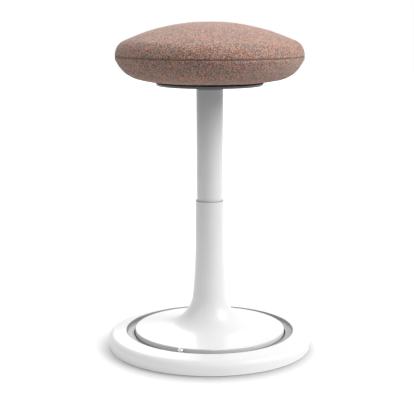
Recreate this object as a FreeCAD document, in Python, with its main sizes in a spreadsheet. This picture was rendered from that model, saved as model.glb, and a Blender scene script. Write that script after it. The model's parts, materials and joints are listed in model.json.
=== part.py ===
import FreeCAD, Part
import math
import os
from types import SimpleNamespace

import Sketcher

# Height-adjustable wobble stool, millimetres, +Z up, origin on the floor under the middle.
# The column stands on a ball joint in a weighted base and leans on a rubber ring. A steel ball
# rolls in the channel between the base ring and the dish. The gas spring's rod stays in the
# column, its tube carries the round seat, and the plate under the cushion opens the valve.

SIZES = [
    # Running, sliding and seating clearances
    ("seat_fit", 0.05, "gap between pieces that are pressed or set together"),
    ("running_gap", 0.1, "radial gap of a sliding or turning pair"),
    ("free_gap", 0.3, "gap between pieces that only lie side by side"),
    # Roundings and overlaps that many pieces share
    ("edge_round", 1, "broken edges of turned and moulded pieces"),
    ("cast_round", 3, "inner corners of castings and mouldings"),
    ("root", 1, "how deep ribs, posts and ears start in the wall that carries them"),
    # Base plate and floor ring
    ("floor_ring_height", 2.5, "rubber ring under the plate"),
    ("floor_ring_radius", 184, "outer radius of the rubber ring"),
    ("floor_ring_width", 22, "width of the rubber ring"),
    ("plate_radius", 186, "steel base plate"),
    ("plate_thickness", 6, "steel base plate"),
    # Base ring with the channel for the ball
    ("ring_foot_radius", 198, "outer edge at the floor"),
    ("ring_floor_gap", 1.2, "shell edge over the floor"),
    ("ring_widest", 200.7, "corner of the rounded shoulder"),
    ("ring_shoulder_height", 25.4, "corner of the rounded shoulder"),
    ("ring_shoulder_round", 12, "rounding of the shoulder"),
    ("ring_edge_radius", 164.5, "inner edge of the top"),
    ("ring_edge_height", 33, "inner edge of the top"),
    ("ring_edge_round", 1.6, "rounding of the inner edge"),
    ("ring_wall", 3, "wall of the shell"),
    ("ball_radius", 6, "loose steel ball"),
    ("ball_track_radius", 156, "circle on which the ball rolls"),
    ("track_height", 26, "floor of the channel"),
    ("track_corner_radius", 162.8, "foot of the channel's sloped side"),
    ("track_round", 2.5, "rounding of the channel's side"),
    ("track_inner_radius", 150, "inner edge of the channel floor"),
    ("track_lip", 1, "raised edge that keeps the ball in"),
    ("ring_boss_circle", 157, "circle of the ring's screws"),
    ("ring_boss_radius", 5.5, "posts that the screws enter"),
    ("screw_radius", 2, "thread of the small screws"),
    ("screw_head_radius", 3.8, "head of the small screws"),
    ("screw_head_height", 2.2, "head of the small screws"),
    # Ball joint under the column
    ("pivot_height", 27, "centre of the ball joint"),
    ("joint_ball_radius", 15, "ball stud"),
    ("liner_wall", 2.6, "plastic cup between ball and socket"),
    ("liner_gap", 0.2, "play on each side of the cup"),
    ("liner_depth_angle", 32, "how far the cup reaches under the middle, degrees"),
    ("stud_neck_radius", 8, "neck of the ball stud"),
    ("stud_flange_radius", 20, "foot of the ball stud"),
    ("stud_flange_height", 3.5, "foot of the ball stud"),
    ("stud_screw_circle", 14.5, "screws of the ball stud"),
    ("spring_ring_inner", 38, "rubber ring that rights the column"),
    ("spring_ring_outer", 58, "rubber ring that rights the column"),
    ("stop_ring_inner", 135, "soft stop under the dish rim"),
    ("stop_ring_height", 1.8, "soft stop under the dish rim"),
    # Cast foot and its retainer
    ("foot_low", 20.5, "underside of the cast foot"),
    ("foot_radius", 94, "flange of the cast foot"),
    ("foot_flange", 5, "flange of the cast foot"),
    ("foot_hub_radius", 30, "hub round the socket"),
    ("foot_hub_top", 46, "hub round the socket"),
    ("foot_hub_round", 8, "rounding between hub and flange"),
    ("foot_rib_reach", 66, "outer end of the foot's ribs"),
    ("foot_rib_drop", 8, "inner end of the ribs under the hub's top"),
    ("foot_rib_thickness", 4, "ribs of the foot"),
    ("foot_neck_radius", 24.5, "neck round the guide tube"),
    ("foot_neck_top", 75, "neck round the guide tube"),
    ("retainer_radius", 34, "ring that closes the socket"),
    ("retainer_thickness", 5, "ring that closes the socket"),
    ("retainer_screw_circle", 24.5, "screws of the retainer"),
    # Dish and column in one shell
    ("rim_radius", 147.5, "edge of the dish"),
    ("rim_low", 26.5, "lower edge of the dish"),
    ("rim_height", 35.6, "corner of the dish's shoulder"),
    ("rim_round", 2.5, "rounding of the dish's shoulder"),
    ("shell_wall", 3, "wall of the dish"),
    ("flare_radius", 37.7, "corner where dish and column would meet"),
    ("flare_height", 50.4, "corner where dish and column would meet"),
    ("flare_round", 67, "rounding of the trumpet"),
    ("neck_radius", 28.45, "corner where the column's taper changes"),
    ("neck_height", 150, "corner where the column's taper changes"),
    ("neck_round", 900, "rounding of the column's taper"),
    ("column_radius", 27.8, "upper end of the column"),
    ("column_bore", 26.45, "bore at the upper end of the column"),
    ("column_top", 290.2, "upper end of the column"),
    ("shell_screw_circle", 86, "screws that hold the shell to the foot"),
    ("wiper_height", 1.5, "grey ring on the column's end"),
    # Guide tube, bush and thrust bearing
    ("guide_low", 52, "seat of the guide tube in the foot"),
    ("guide_radius", 20, "steel guide tube"),
    ("guide_wall", 2, "steel guide tube"),
    ("guide_top", 318, "steel guide tube"),
    ("guide_floor", 56, "bottom plate in the guide tube"),
    ("guide_floor_thickness", 3, "bottom plate in the guide tube"),
    ("bush_length", 78, "plastic bush in the guide tube"),
    ("bush_collar", 2, "collar of the bush on the tube's end"),
    ("race_radius", 12, "washers of the thrust bearing"),
    ("race_thickness", 1.5, "washers of the thrust bearing"),
    ("bearing_ball_radius", 1.6, "balls of the thrust bearing"),
    ("bearing_circle", 9, "circle of the bearing balls"),
    # Gas spring
    ("rod_radius", 5, "piston rod"),
    ("rod_low", 53, "lower end of the rod"),
    ("rod_end", 4, "rod above the piston"),
    ("clip_depth", 1, "groove of the rod's clip, and the rod under it"),
    ("clip_radius", 8.5, "clip under the guide tube's bottom plate"),
    ("piston_low", 266, "underside of the piston"),
    ("piston_height", 10, "piston"),
    ("seal_height", 3, "seal in the piston's groove"),
    ("seal_depth", 2, "seal in the piston's groove"),
    ("bump_stop_height", 4.4, "rubber ring over the bearing"),
    ("bump_stop_radius", 11, "rubber ring over the bearing"),
    ("tube_radius", 14, "pressure tube"),
    ("tube_wall", 1.5, "pressure tube"),
    ("tube_low", 242, "lower end of the pressure tube at full height"),
    ("taper_low", 505, "start of the tube's taper"),
    ("taper_length", 36, "length of the tube's taper"),
    ("taper_drop", 0.75, "how much the radius falls over the taper"),
    ("gland_height", 20, "guide and seal in the tube's lower end"),
    ("valve_low", 512, "valve body in the tube's upper end"),
    ("valve_pin_radius", 3, "valve pin"),
    ("valve_pin_low", 516, "lower end of the valve pin"),
    ("push_cap_radius", 9, "cap on the valve pin"),
    ("push_cap_low", 549, "cap on the valve pin"),
    ("push_cap_height", 4, "cap on the valve pin"),
    # Cover tube round the gas spring
    ("cover_tube_low", 255, "lower end of the cover tube at full height"),
    ("cover_tube_top", 505.7, "upper end of the cover tube"),
    ("cover_tube_low_radius", 25.1, "lower end of the cover tube"),
    ("cover_tube_top_radius", 25.9, "upper end of the cover tube"),
    ("cover_tube_wall", 1.8, "wall of the cover tube"),
    ("tube_cap_thickness", 2.6, "cap on the cover tube"),
    ("tube_cap_plug", 9, "depth of the cap's plug"),
    # Seat bracket
    ("hub_radius", 20, "hub on the gas spring's taper"),
    ("hub_low", 509.6, "hub on the gas spring's taper"),
    ("hub_top", 543, "hub on the gas spring's taper"),
    ("bracket_radius", 88, "bracket flange"),
    ("bracket_low", 521.6, "bracket flange"),
    ("bracket_thickness", 4.4, "bracket flange"),
    ("bracket_screw_circle", 78, "screws into the seat pan"),
    # Release plate, rockers and hanger screws
    ("release_low", 513, "underside of the release plate"),
    ("release_floor", 2.6, "thickness of the release plate"),
    ("release_rim_height", 5, "height of the release plate's rim"),
    ("release_radius", 103, "upper edge of the release plate"),
    ("release_bevel", 2.7, "how far the rim draws in to the underside"),
    ("release_wall", 2.5, "rim of the release plate at its top"),
    ("release_bore_gap", 1.5, "release plate round the bracket's hub"),
    ("release_travel", 2.3, "lift of the release plate"),
    ("post_circle", 54, "posts that lift the rockers"),
    ("post_radius", 4, "posts that lift the rockers"),
    ("post_clearance", 1.2, "bracket's holes round the posts"),
    ("hanger_circle", 60, "shoulder screws that carry the plate"),
    ("hanger_radius", 3, "shoulder screws that carry the plate"),
    ("hanger_head_radius", 5.2, "shoulder screws that carry the plate"),
    ("hanger_head_height", 2.1, "shoulder screws that carry the plate"),
    ("hanger_thread", 2.6, "threaded holes for the shoulder screws"),
    ("hanger_boss_radius", 8, "bosses that the shoulder screws pass"),
    ("rocker_pivot_circle", 30, "pins of the rockers"),
    ("rocker_pivot_rise", 3.3, "pin above the rocker's underside"),
    ("rocker_inner", 4, "inner end of a rocker"),
    ("rocker_outer", 58, "outer end of a rocker"),
    ("rocker_width", 5, "width of a rocker"),
    ("rocker_end_height", 3.2, "height of a rocker at its ends"),
    ("rocker_end_round", 1.2, "rounding of a rocker's ends"),
    ("rocker_crown", 3.4, "metal over a rocker's pin"),
    ("rocker_crown_half", 6, "half the length of a rocker's raised middle, and its rounding"),
    ("rocker_pin_radius", 1.5, "pin of a rocker"),
    ("ear_thickness", 2.5, "ears that hold a rocker's pin"),
    ("ear_half_length", 5, "ears that hold a rocker's pin"),
    ("ear_round", 4, "ears that hold a rocker's pin"),
    ("pin_proud", 0.8, "pin beyond its ears"),
    # Seat pan
    ("pan_wall", 4, "wall of the seat pan"),
    ("pan_dome_radius", 66, "hollow over the valve"),
    ("pan_dome_height", 565, "ceiling of the hollow"),
    ("pan_dome_round", 5, "corner of the hollow's ceiling"),
    ("pan_step_radius", 96, "step round the bracket"),
    ("edge_ring_gap", 1.5, "edge ring of the cover round the bracket"),
    ("insert_radius", 3.6, "brass inserts"),
    ("insert_length", 8, "brass inserts"),
    ("pan_boss_radius", 7, "posts round the inserts"),
    # Cushion
    ("seat_radius", 179.2, "cushion at its seam"),
    ("seat_top", 633.2, "top of the cushion"),
    ("seam_height", 569, "seam between the two panels"),
    ("crown_break", 84.5, "corner between crown and slope"),
    ("shoulder_height", 590.8, "corner between slope and side"),
    ("side_low", 562, "corner where the side draws in"),
    ("side_round", 12, "rounding where the side draws in"),
    ("under_radius", 160, "corner of the drawn-in underside"),
    ("under_height", 530.1, "corner of the drawn-in underside"),
    ("under_round", 57, "rounding of the underside"),
    ("floor_radius", 114, "edge of the cushion's flat underside"),
    ("cushion_low", 520.6, "cushion's flat underside"),
    ("floor_round", 120, "rounding at the flat underside"),
    ("fabric", 1.5, "thickness of the cover"),
    ("hem_depth", 1.4, "how far each panel's edge turns in at the seam"),
    ("hem_round", 1.5, "rounding where the panels' edges turn in"),
    ("pan_reach", 0.75, "share of the drawn-in side that the pan's rim reaches up"),
    ("foam_reach", 0.79, "share of the drawn-in side at which the foam closes round the rim"),
]

RING_SCREWS = 8
STUD_SCREWS = 4
RETAINER_SCREWS = 4
SHELL_SCREWS = 6
BEARING_BALLS = 8
BRACKET_SCREWS = 6
ROCKERS = 3
RETAINER_TURN = 45.0
HANGER_TURN = 60.0
BRACKET_TURN = 30.0
BALL_PLACE = 249.5
NOTHING = 1e-9


class Size:
    """A length that knows its number and how it follows from the sheet's cells."""

    def __init__(self, value, text):
        self.value = value
        self.text = text

    def __add__(self, other):
        return combined(self, "+", other)

    def __radd__(self, other):
        return combined(other, "+", self)

    def __sub__(self, other):
        return combined(self, "-", other)

    def __rsub__(self, other):
        return combined(other, "-", self)

    def __mul__(self, other):
        return combined(self, "*", other)

    def __rmul__(self, other):
        return combined(other, "*", self)

    def __truediv__(self, other):
        return combined(self, "/", other)


def angle_function(name, angle):
    """The sine, cosine or tangent of an angle in degrees."""
    value = getattr(math, name)(math.radians(number(angle)))
    return Size(value, f"{name}({wording(angle)} * 1 deg)")


def heading(start, end):
    """Direction of the run between two corners, in degrees from the X axis."""
    across = end[0] - start[0]
    along = end[1] - start[1]
    value = math.degrees(math.atan2(number(along), number(across)))
    return Size(value, f"(atan2({wording(along)}; {wording(across)}) / 1 deg)")


def inset(corners, depth):
    """The same chain of corners at an even depth to its left, with its roundings."""
    headings = [heading(a, b) for a, b in zip(corners, corners[1:])]
    moved = []
    for i, corner in enumerate(corners):
        run_in = headings[max(i - 1, 0)]
        run_out = headings[min(i, len(headings) - 1)]
        middle = (run_in + run_out) / 2
        stretch = depth / angle_function("cos", (run_out - run_in) / 2)
        spot = (
            corner[0] - stretch * angle_function("sin", middle),
            corner[1] + stretch * angle_function("cos", middle),
        )
        moved.append(spot + tuple(radius - depth for radius in corner[2:]))
    return moved


def distance(start, end):
    across = end[0] - start[0]
    along = end[1] - start[1]
    value = math.hypot(number(across), number(along))
    return Size(value, f"hypot({wording(across)}; {wording(along)})")


def smaller(first, second):
    value = min(number(first), number(second))
    return Size(value, f"min({wording(first)}; {wording(second)})")


def round_over(before, corner, after, length):
    """Radius of the rounding that starts a given length from its corner."""
    turn = heading(corner, after) - heading(before, corner)
    return length / angle_function("tan", turn / 2)


def number(length):
    return length.value if isinstance(length, Size) else float(length)


def wording(length):
    return length.text if isinstance(length, Size) else repr(float(length))


def combined(first, sign, second):
    a = number(first)
    b = number(second)
    value = {"+": a + b, "-": a - b, "*": a * b, "/": a / b if b else 0.0}[sign]
    return Size(value, f"({wording(first)} {sign} {wording(second)})")


doc = FreeCAD.newDocument("wobble_stool")


def size_sheet():
    """The spreadsheet of driving sizes, and a namespace that names its cells."""
    sheet = doc.addObject("Spreadsheet::Sheet", "Sizes")
    cells = {}
    for row, (alias, value, meaning) in enumerate(SIZES, start=1):
        sheet.set(f"A{row}", meaning)
        sheet.set(f"B{row}", str(value))
        sheet.setAlias(f"B{row}", alias)
        cells[alias] = Size(float(value), f"Sizes.{alias}")
    doc.recompute()
    return SimpleNamespace(**cells)


s = size_sheet()
nodes = []


# Tools for bodies and sketches


def bind(feature, prop, length):
    """Sets a property, and ties it to the sheet if it follows from a cell."""
    if isinstance(length, Size):
        feature.setExpression(prop, length.text)
    else:
        setattr(feature, prop, length)


def new_body(name):
    body = doc.addObject("PartDesign::Body", name)
    body.Label = name
    nodes.append(body)
    return body


def origin_of(body, role):
    return next(f for f in body.Origin.OriginFeatures if f.Role == role)


def sketch_on(body, plane, name, height=0.0, turn=0.0):
    """A sketch on an origin plane, moved along the plane's normal and turned in it."""
    sketch = body.newObject("Sketcher::SketchObject", name)
    sketch.AttachmentSupport = [(origin_of(body, plane), "")]
    sketch.MapMode = "FlatFace"
    rotation = FreeCAD.Rotation(FreeCAD.Vector(0, 0, 1), turn)
    sketch.AttachmentOffset = FreeCAD.Placement(FreeCAD.Vector(0, 0, number(height)), rotation)
    if isinstance(height, Size):
        sketch.setExpression("AttachmentOffset.Base.z", height.text)
    return sketch


def dimension(sketch, kind, geometry, point, length):
    """One distance from the sketch's origin, tied to the sheet."""
    if abs(number(length)) < NOTHING:
        axis = {"DistanceX": -2, "DistanceY": -1}[kind]
        sketch.addConstraint(Sketcher.Constraint("PointOnObject", geometry, point, axis))
        return
    index = sketch.addConstraint(Sketcher.Constraint(kind, -1, 1, geometry, point, number(length)))
    if isinstance(length, Size):
        sketch.setExpression(f"Constraints[{index}]", length.text)


def locate(sketch, geometry, point, across, along):
    dimension(sketch, "DistanceX", geometry, point, across)
    dimension(sketch, "DistanceY", geometry, point, along)


def fix_radius(sketch, geometry, radius):
    index = sketch.addConstraint(Sketcher.Constraint("Radius", geometry, number(radius)))
    if isinstance(radius, Size):
        sketch.setExpression(f"Constraints[{index}]", radius.text)


def rounded(spots, i, radius):
    """Where a rounding starts and ends at corner i, its arc, and which way it turns."""
    corner = spots[i]
    to_last = (spots[i - 1] - corner).normalize()
    to_next = (spots[(i + 1) % len(spots)] - corner).normalize()
    run_off = radius / math.tan(to_last.getAngle(to_next) / 2)
    enter = corner + to_last * run_off
    leave = corner + to_next * run_off
    turns_left = to_last.y * to_next.x - to_last.x * to_next.y > 0
    side = 1 if turns_left else -1
    centre = enter + FreeCAD.Vector(to_last.y, -to_last.x, 0) * radius * side
    first, last = (enter, leave) if turns_left else (leave, enter)
    start = math.atan2(first.y - centre.y, first.x - centre.x)
    end = math.atan2(last.y - centre.y, last.x - centre.x)
    circle = Part.Circle(centre, FreeCAD.Vector(0, 0, 1), radius)
    return enter, leave, Part.ArcOfCircle(circle, start, end), turns_left


def outline(sketch, corners):
    """A closed outline of straight runs. A third value at a corner rounds that corner."""
    spots = [FreeCAD.Vector(number(c[0]), number(c[1]), 0) for c in corners]
    count = len(corners)
    enters = list(spots)
    leaves = list(spots)
    arcs = {}
    for i, corner in enumerate(corners):
        if len(corner) == 3:
            enters[i], leaves[i], arc, turns_left = rounded(spots, i, number(corner[2]))
            arcs[i] = (arc, turns_left)
    first = len(sketch.Geometry)
    for i in range(count):
        to = (i + 1) % count
        if (enters[to] - leaves[i]).dot(spots[to] - spots[i]) <= 0:
            raise RuntimeError(f"{sketch.Name}: roundings overlap after corner {i}")
        sketch.addGeometry(Part.LineSegment(leaves[i], enters[to]), False)
    for i, corner in enumerate(corners):
        run_in = first + (i - 1) % count
        run_out = first + i
        if i not in arcs:
            sketch.addConstraint(Sketcher.Constraint("Coincident", run_in, 2, run_out, 1))
            locate(sketch, run_out, 1, corner[0], corner[1])
            continue
        arc, turns_left = arcs[i]
        arc_index = sketch.addGeometry(arc, False)
        spot = sketch.addGeometry(Part.Point(spots[i]), True)
        arc_start, arc_end = (1, 2) if turns_left else (2, 1)
        locate(sketch, spot, 1, corner[0], corner[1])
        sketch.addConstraint(Sketcher.Constraint("PointOnObject", spot, 1, run_in))
        sketch.addConstraint(Sketcher.Constraint("PointOnObject", spot, 1, run_out))
        sketch.addConstraint(Sketcher.Constraint("Tangent", run_in, 2, arc_index, arc_start))
        sketch.addConstraint(Sketcher.Constraint("Tangent", arc_index, arc_end, run_out, 1))
        fix_radius(sketch, arc_index, corner[2])


def circle_in(sketch, across, along, radius):
    centre = FreeCAD.Vector(number(across), number(along), 0)
    index = sketch.addGeometry(
        Part.Circle(centre, FreeCAD.Vector(0, 0, 1), number(radius)), False
    )
    locate(sketch, index, 3, across, along)
    fix_radius(sketch, index, radius)


def turned(name, corners):
    """A body revolved about Z from an outline of (radius, height) corners."""
    body = new_body(name)
    section = sketch_on(body, "XZ_Plane", f"{name}_section")
    outline(section, corners)
    turn = body.newObject("PartDesign::Revolution", f"{name}_turn")
    turn.Profile = section
    turn.ReferenceAxis = (section, ["V_Axis"])
    turn.Angle = 360
    body.Tip = turn
    doc.recompute()
    return body


def ring(name, inner, outer, low, high):
    """A plain turned ring, or a disc if its inner radius is 0."""
    return turned(name, [(inner, low), (outer, low), (outer, high), (inner, high)])


def around(body, features, count):
    """Repeats features evenly about Z."""
    pattern = body.newObject("PartDesign::PolarPattern", f"{features[-1].Name}_pattern")
    pattern.Originals = features
    pattern.Axis = (origin_of(body, "Z_Axis"), [""])
    pattern.Angle = 360
    pattern.Occurrences = count
    body.Tip = pattern
    doc.recompute()
    return pattern


def round_feature(body, kind, label, radius, circle, low, high, turn):
    """A round pad or pocket from low up to high, on a circle about Z."""
    sketch = sketch_on(body, "XY_Plane", f"{label}_circle", low, turn)
    circle_in(sketch, circle, 0, radius)
    feature = body.newObject(f"PartDesign::{kind}", label)
    feature.Profile = sketch
    bind(feature, "Length", high - low)
    feature.Reversed = kind == "Pocket"
    return feature


def holes(body, label, radius, circle, count, low, high, turn=0.0):
    """Round holes on a circle about Z. The volume shows that they cut."""
    before = body.Shape.Volume
    pocket = round_feature(body, "Pocket", label, radius, circle, low, high, turn)
    doc.recompute()
    around(body, [pocket], count)
    if body.Shape.Volume >= before:
        raise RuntimeError(f"{label} cuts nothing")


def posts(body, label, radius, circle, count, low, high, turn=0.0):
    """Round posts on a circle about Z. The volume shows that they add."""
    before = body.Shape.Volume
    pad = round_feature(body, "Pad", label, radius, circle, low, high, turn)
    doc.recompute()
    around(body, [pad], count)
    if body.Shape.Volume <= before:
        raise RuntimeError(f"{label} adds nothing")


def primitive(body, kind, label, low, circle=0.0, turn=0.0, **lengths):
    """A cylinder, cone or sphere feature that stands on a circle about Z."""
    feature = body.newObject(f"PartDesign::{kind}", label)
    feature.AttachmentSupport = [(origin_of(body, "XY_Plane"), "")]
    feature.MapMode = "FlatFace"
    for prop, length in lengths.items():
        bind(feature, prop, length)
    angle = math.radians(turn)
    places = {"x": circle * math.cos(angle), "y": circle * math.sin(angle), "z": low}
    spot = FreeCAD.Vector(*(number(v) for v in places.values()))
    feature.AttachmentOffset = FreeCAD.Placement(spot, FreeCAD.Rotation())
    for axis, length in places.items():
        if isinstance(length, Size) and number(length):
            feature.setExpression(f"AttachmentOffset.Base.{axis}", length.text)
    body.Tip = feature
    return feature


def screws(name, circle, count, low, high, shank, head, head_height, turn=0.0, sunk=False):
    """A ring of screws driven upwards. Their heads are under low, or in it if they are sunk."""
    body = new_body(name)
    head_low = low if sunk else low - head_height
    if sunk:
        top = primitive(
            body, "AdditiveCone", f"{name}_head", head_low, circle, turn,
            Radius1=head, Radius2=shank, Height=head_height,
        )
    else:
        top = primitive(
            body, "AdditiveCylinder", f"{name}_head", head_low, circle, turn,
            Radius=head, Height=head_height,
        )
    thread = primitive(
        body, "AdditiveCylinder", f"{name}_shank", head_low, circle, turn,
        Radius=shank, Height=high - head_low,
    )
    doc.recompute()
    around(body, [top, thread], count)
    return body


def sunk_seats(body, label, circle, count, low, head, shank, height, turn=0.0):
    """Conical seats for countersunk heads, cut upwards from low."""
    before = body.Shape.Volume
    cone = primitive(
        body, "SubtractiveCone", label, low, circle, turn,
        Radius1=head, Radius2=shank, Height=height,
    )
    doc.recompute()
    around(body, [cone], count)
    if body.Shape.Volume >= before:
        raise RuntimeError(f"{label} cuts nothing")


# Base: plate, floor ring, channel ring, soft stop and ball stud

plate_low = s.floor_ring_height
plate_top = plate_low + s.plate_thickness
screw_hole = s.screw_radius + s.running_gap
head_hole = s.screw_head_radius + s.running_gap


def base_plate():
    spigot = s.stud_neck_radius + s.running_gap
    body = ring("base_plate", spigot, s.plate_radius, plate_low, plate_top)
    for label, circle, count in (
        ("ring_screw", s.ring_boss_circle, RING_SCREWS),
        ("stud_screw", s.stud_screw_circle, STUD_SCREWS),
    ):
        holes(body, f"{label}_holes", screw_hole, circle, count, plate_low, plate_top)
        sunk_seats(
            body, f"{label}_seats", circle, count, plate_low, head_hole, screw_hole,
            s.screw_head_height,
        )


def floor_ring():
    inner = s.floor_ring_radius - s.floor_ring_width
    ring("floor_ring", inner, s.floor_ring_radius, 0.0, plate_low)


def base_ring():
    wall = s.ring_wall
    track_under = s.track_height - wall
    inner_edge = s.ring_edge_radius + wall
    foot_low = s.ring_floor_gap
    lip_top = s.track_height + s.track_lip
    skirt_outer = s.track_inner_radius + wall
    body = turned(
        "base_ring",
        [
            (s.ring_foot_radius - wall, foot_low),
            (s.ring_foot_radius, foot_low),
            (s.ring_widest, s.ring_shoulder_height, s.ring_shoulder_round),
            (s.ring_edge_radius, s.ring_edge_height, s.ring_edge_round),
            (s.track_corner_radius, s.track_height, s.track_round),
            (s.track_inner_radius + 2 * s.track_lip, s.track_height),
            (s.track_inner_radius + s.track_lip, lip_top),
            (s.track_inner_radius, lip_top),
            (s.track_inner_radius, plate_top),
            (skirt_outer, plate_top),
            (skirt_outer, track_under),
            (s.track_corner_radius + wall, track_under),
            (inner_edge, s.ring_edge_height - 1.25 * wall),
            (s.ring_widest - wall, s.ring_shoulder_height - wall, s.ring_shoulder_round - wall),
        ],
    )
    posts(
        body, "ring_bosses", s.ring_boss_radius - s.free_gap, s.ring_boss_circle, RING_SCREWS,
        plate_top, track_under + 0.5 * wall,
    )
    holes(
        body, "ring_boss_bores", s.screw_radius, s.ring_boss_circle, RING_SCREWS,
        plate_top, track_under - wall,
    )


def tilt_stop_ring():
    ring(
        "tilt_stop_ring", s.stop_ring_inner, s.track_inner_radius - 2 * s.track_lip,
        plate_top, plate_top + s.stop_ring_height,
    )


def ball_stud():
    body = new_body("ball_stud")
    flange_top = plate_top + s.stud_flange_height
    primitive(
        body, "AdditiveCylinder", "stud_spigot", plate_low,
        Radius=s.stud_neck_radius, Height=s.pivot_height - plate_low,
    )
    primitive(
        body, "AdditiveCylinder", "stud_flange", plate_top,
        Radius=s.stud_flange_radius, Height=s.stud_flange_height,
    )
    primitive(
        body, "AdditiveSphere", "stud_ball", s.pivot_height, Radius=s.joint_ball_radius
    )
    doc.recompute()
    holes(
        body, "stud_bores", s.screw_radius, s.stud_screw_circle, STUD_SCREWS,
        plate_top, flange_top,
    )


def base_screws():
    shapes = (s.screw_radius - s.seat_fit, s.screw_head_radius, s.screw_head_height)
    screws(
        "ring_screws", s.ring_boss_circle, RING_SCREWS, plate_low,
        s.track_height - 2.5 * s.ring_wall, *shapes, sunk=True,
    )
    screws(
        "stud_screws", s.stud_screw_circle, STUD_SCREWS, plate_low,
        plate_top + s.stud_flange_height - s.free_gap, *shapes, sunk=True,
    )


def rubber_spring():
    ring(
        "rubber_spring", s.spring_ring_inner, s.spring_ring_outer,
        plate_top, s.foot_low,
    )


def track_ball():
    body = new_body("track_ball")
    primitive(
        body, "AdditiveSphere", "ball", s.track_height + s.ball_radius + s.seat_fit,
        s.ball_track_radius, BALL_PLACE, Radius=s.ball_radius,
    )


# Ball joint and cast foot

liner_inner = s.joint_ball_radius + s.liner_gap
liner_outer = liner_inner + s.liner_wall
socket_radius = liner_outer + s.liner_gap
foot_top = s.foot_low + s.foot_flange


def ball_liner():
    body = new_body("ball_liner")
    primitive(
        body, "AdditiveSphere", "liner_outside", s.pivot_height,
        Radius=liner_outer, Angle1=-1.0 * s.liner_depth_angle,
    )
    primitive(body, "SubtractiveSphere", "liner_inside", s.pivot_height, Radius=liner_inner)


def foot_casting():
    body = turned(
        "foot_casting",
        [
            (socket_radius, s.foot_low),
            (s.foot_radius, s.foot_low),
            (s.foot_radius, foot_top, 2 * s.edge_round),
            (s.foot_hub_radius, foot_top, s.foot_hub_round),
            (s.foot_hub_radius, s.foot_hub_top, s.edge_round),
            (s.foot_neck_radius, s.foot_hub_top, s.cast_round),
            (s.foot_neck_radius, s.foot_neck_top),
            (s.guide_radius + s.seat_fit, s.foot_neck_top),
            (s.guide_radius + s.seat_fit, s.guide_low),
            (0.0, s.guide_low),
            (0.0, s.pivot_height),
            (socket_radius, s.pivot_height),
        ],
    )
    primitive(body, "SubtractiveSphere", "socket", s.pivot_height, Radius=socket_radius)
    doc.recompute()
    holes(
        body, "shell_screw_holes", screw_hole, s.shell_screw_circle, SHELL_SCREWS,
        s.foot_low, foot_top,
    )
    holes(
        body, "retainer_screw_bores", s.screw_radius, s.retainer_screw_circle, RETAINER_SCREWS,
        s.foot_low, s.foot_low + 3 * s.foot_flange, RETAINER_TURN,
    )
    rib_ring(body)


def rib_ring(body):
    """Six upright ribs between the hub and the flange, clear of the shell's posts."""
    sketch = sketch_on(body, "XZ_Plane", "foot_rib_side")
    near = s.foot_hub_radius - s.root
    low = foot_top - s.root
    outline(
        sketch,
        [
            (near, low),
            (s.foot_rib_reach, low),
            (s.foot_rib_reach, foot_top),
            (near, s.foot_hub_top - s.foot_rib_drop),
        ],
    )
    rib = body.newObject("PartDesign::Pad", "foot_rib")
    rib.Profile = sketch
    bind(rib, "Length", s.foot_rib_thickness)
    rib.Midplane = True
    doc.recompute()
    around(body, [rib], 2 * ROCKERS)


def socket_retainer():
    low = s.foot_low - s.retainer_thickness
    body = ring("socket_retainer", s.stud_neck_radius, s.retainer_radius, low, s.foot_low)
    primitive(body, "SubtractiveSphere", "retainer_seat", s.pivot_height, Radius=socket_radius)
    doc.recompute()
    holes(
        body, "retainer_holes", screw_hole, s.retainer_screw_circle, RETAINER_SCREWS,
        low, s.foot_low, RETAINER_TURN,
    )
    sunk_seats(
        body, "retainer_seats", s.retainer_screw_circle, RETAINER_SCREWS, low,
        head_hole, screw_hole, s.screw_head_height, RETAINER_TURN,
    )
    screws(
        "retainer_screws", s.retainer_screw_circle, RETAINER_SCREWS, low,
        s.foot_low + 2 * s.foot_flange, s.screw_radius - s.seat_fit, s.screw_head_radius,
        s.screw_head_height, RETAINER_TURN, sunk=True,
    )


# Dish and column shell, guide tube and thrust bearing


def column_shell():
    """A turned wall. Its trumpet's and its neck's roundings end on the run between them."""
    wall = s.shell_wall
    inner_rim = s.rim_radius - wall
    rim = (s.rim_radius, s.rim_height)
    flare = (s.flare_radius, s.flare_height)
    neck = (s.neck_radius, s.neck_height)
    top = (s.column_radius, s.column_top)
    between = distance(flare, neck)
    flare_round = smaller(s.flare_round, round_over(neck, flare, rim, 0.55 * between))
    neck_round = smaller(s.neck_round, round_over(top, neck, flare, 0.4 * between))
    body = turned(
        "column_shell",
        [
            (inner_rim, s.rim_low),
            (s.rim_radius, s.rim_low),
            rim + (s.rim_round,),
            flare + (flare_round,),
            neck + (neck_round,),
            top,
            (s.column_bore, s.column_top),
            (s.column_bore + s.seat_fit, s.neck_height, neck_round),
            (s.flare_radius - 0.8 * wall, s.flare_height - wall, flare_round + wall),
            (inner_rim, s.rim_height - wall, s.edge_round),
        ],
    )
    slope = (s.flare_height - s.rim_height) / (s.rim_radius - s.flare_radius)
    dish_there = s.rim_height + slope * (s.rim_radius - s.shell_screw_circle)
    boss_top = dish_there - 0.4 * wall
    posts(
        body, "shell_bosses", s.ring_boss_radius, s.shell_screw_circle, SHELL_SCREWS,
        foot_top + s.seat_fit, boss_top,
    )
    holes(
        body, "shell_boss_bores", s.screw_radius, s.shell_screw_circle, SHELL_SCREWS,
        foot_top + s.seat_fit, boss_top - wall,
    )
    screws(
        "shell_screws", s.shell_screw_circle, SHELL_SCREWS, s.foot_low,
        boss_top - 1.5 * wall, s.screw_radius - s.seat_fit, s.screw_head_radius,
        s.screw_head_height,
    )


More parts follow.
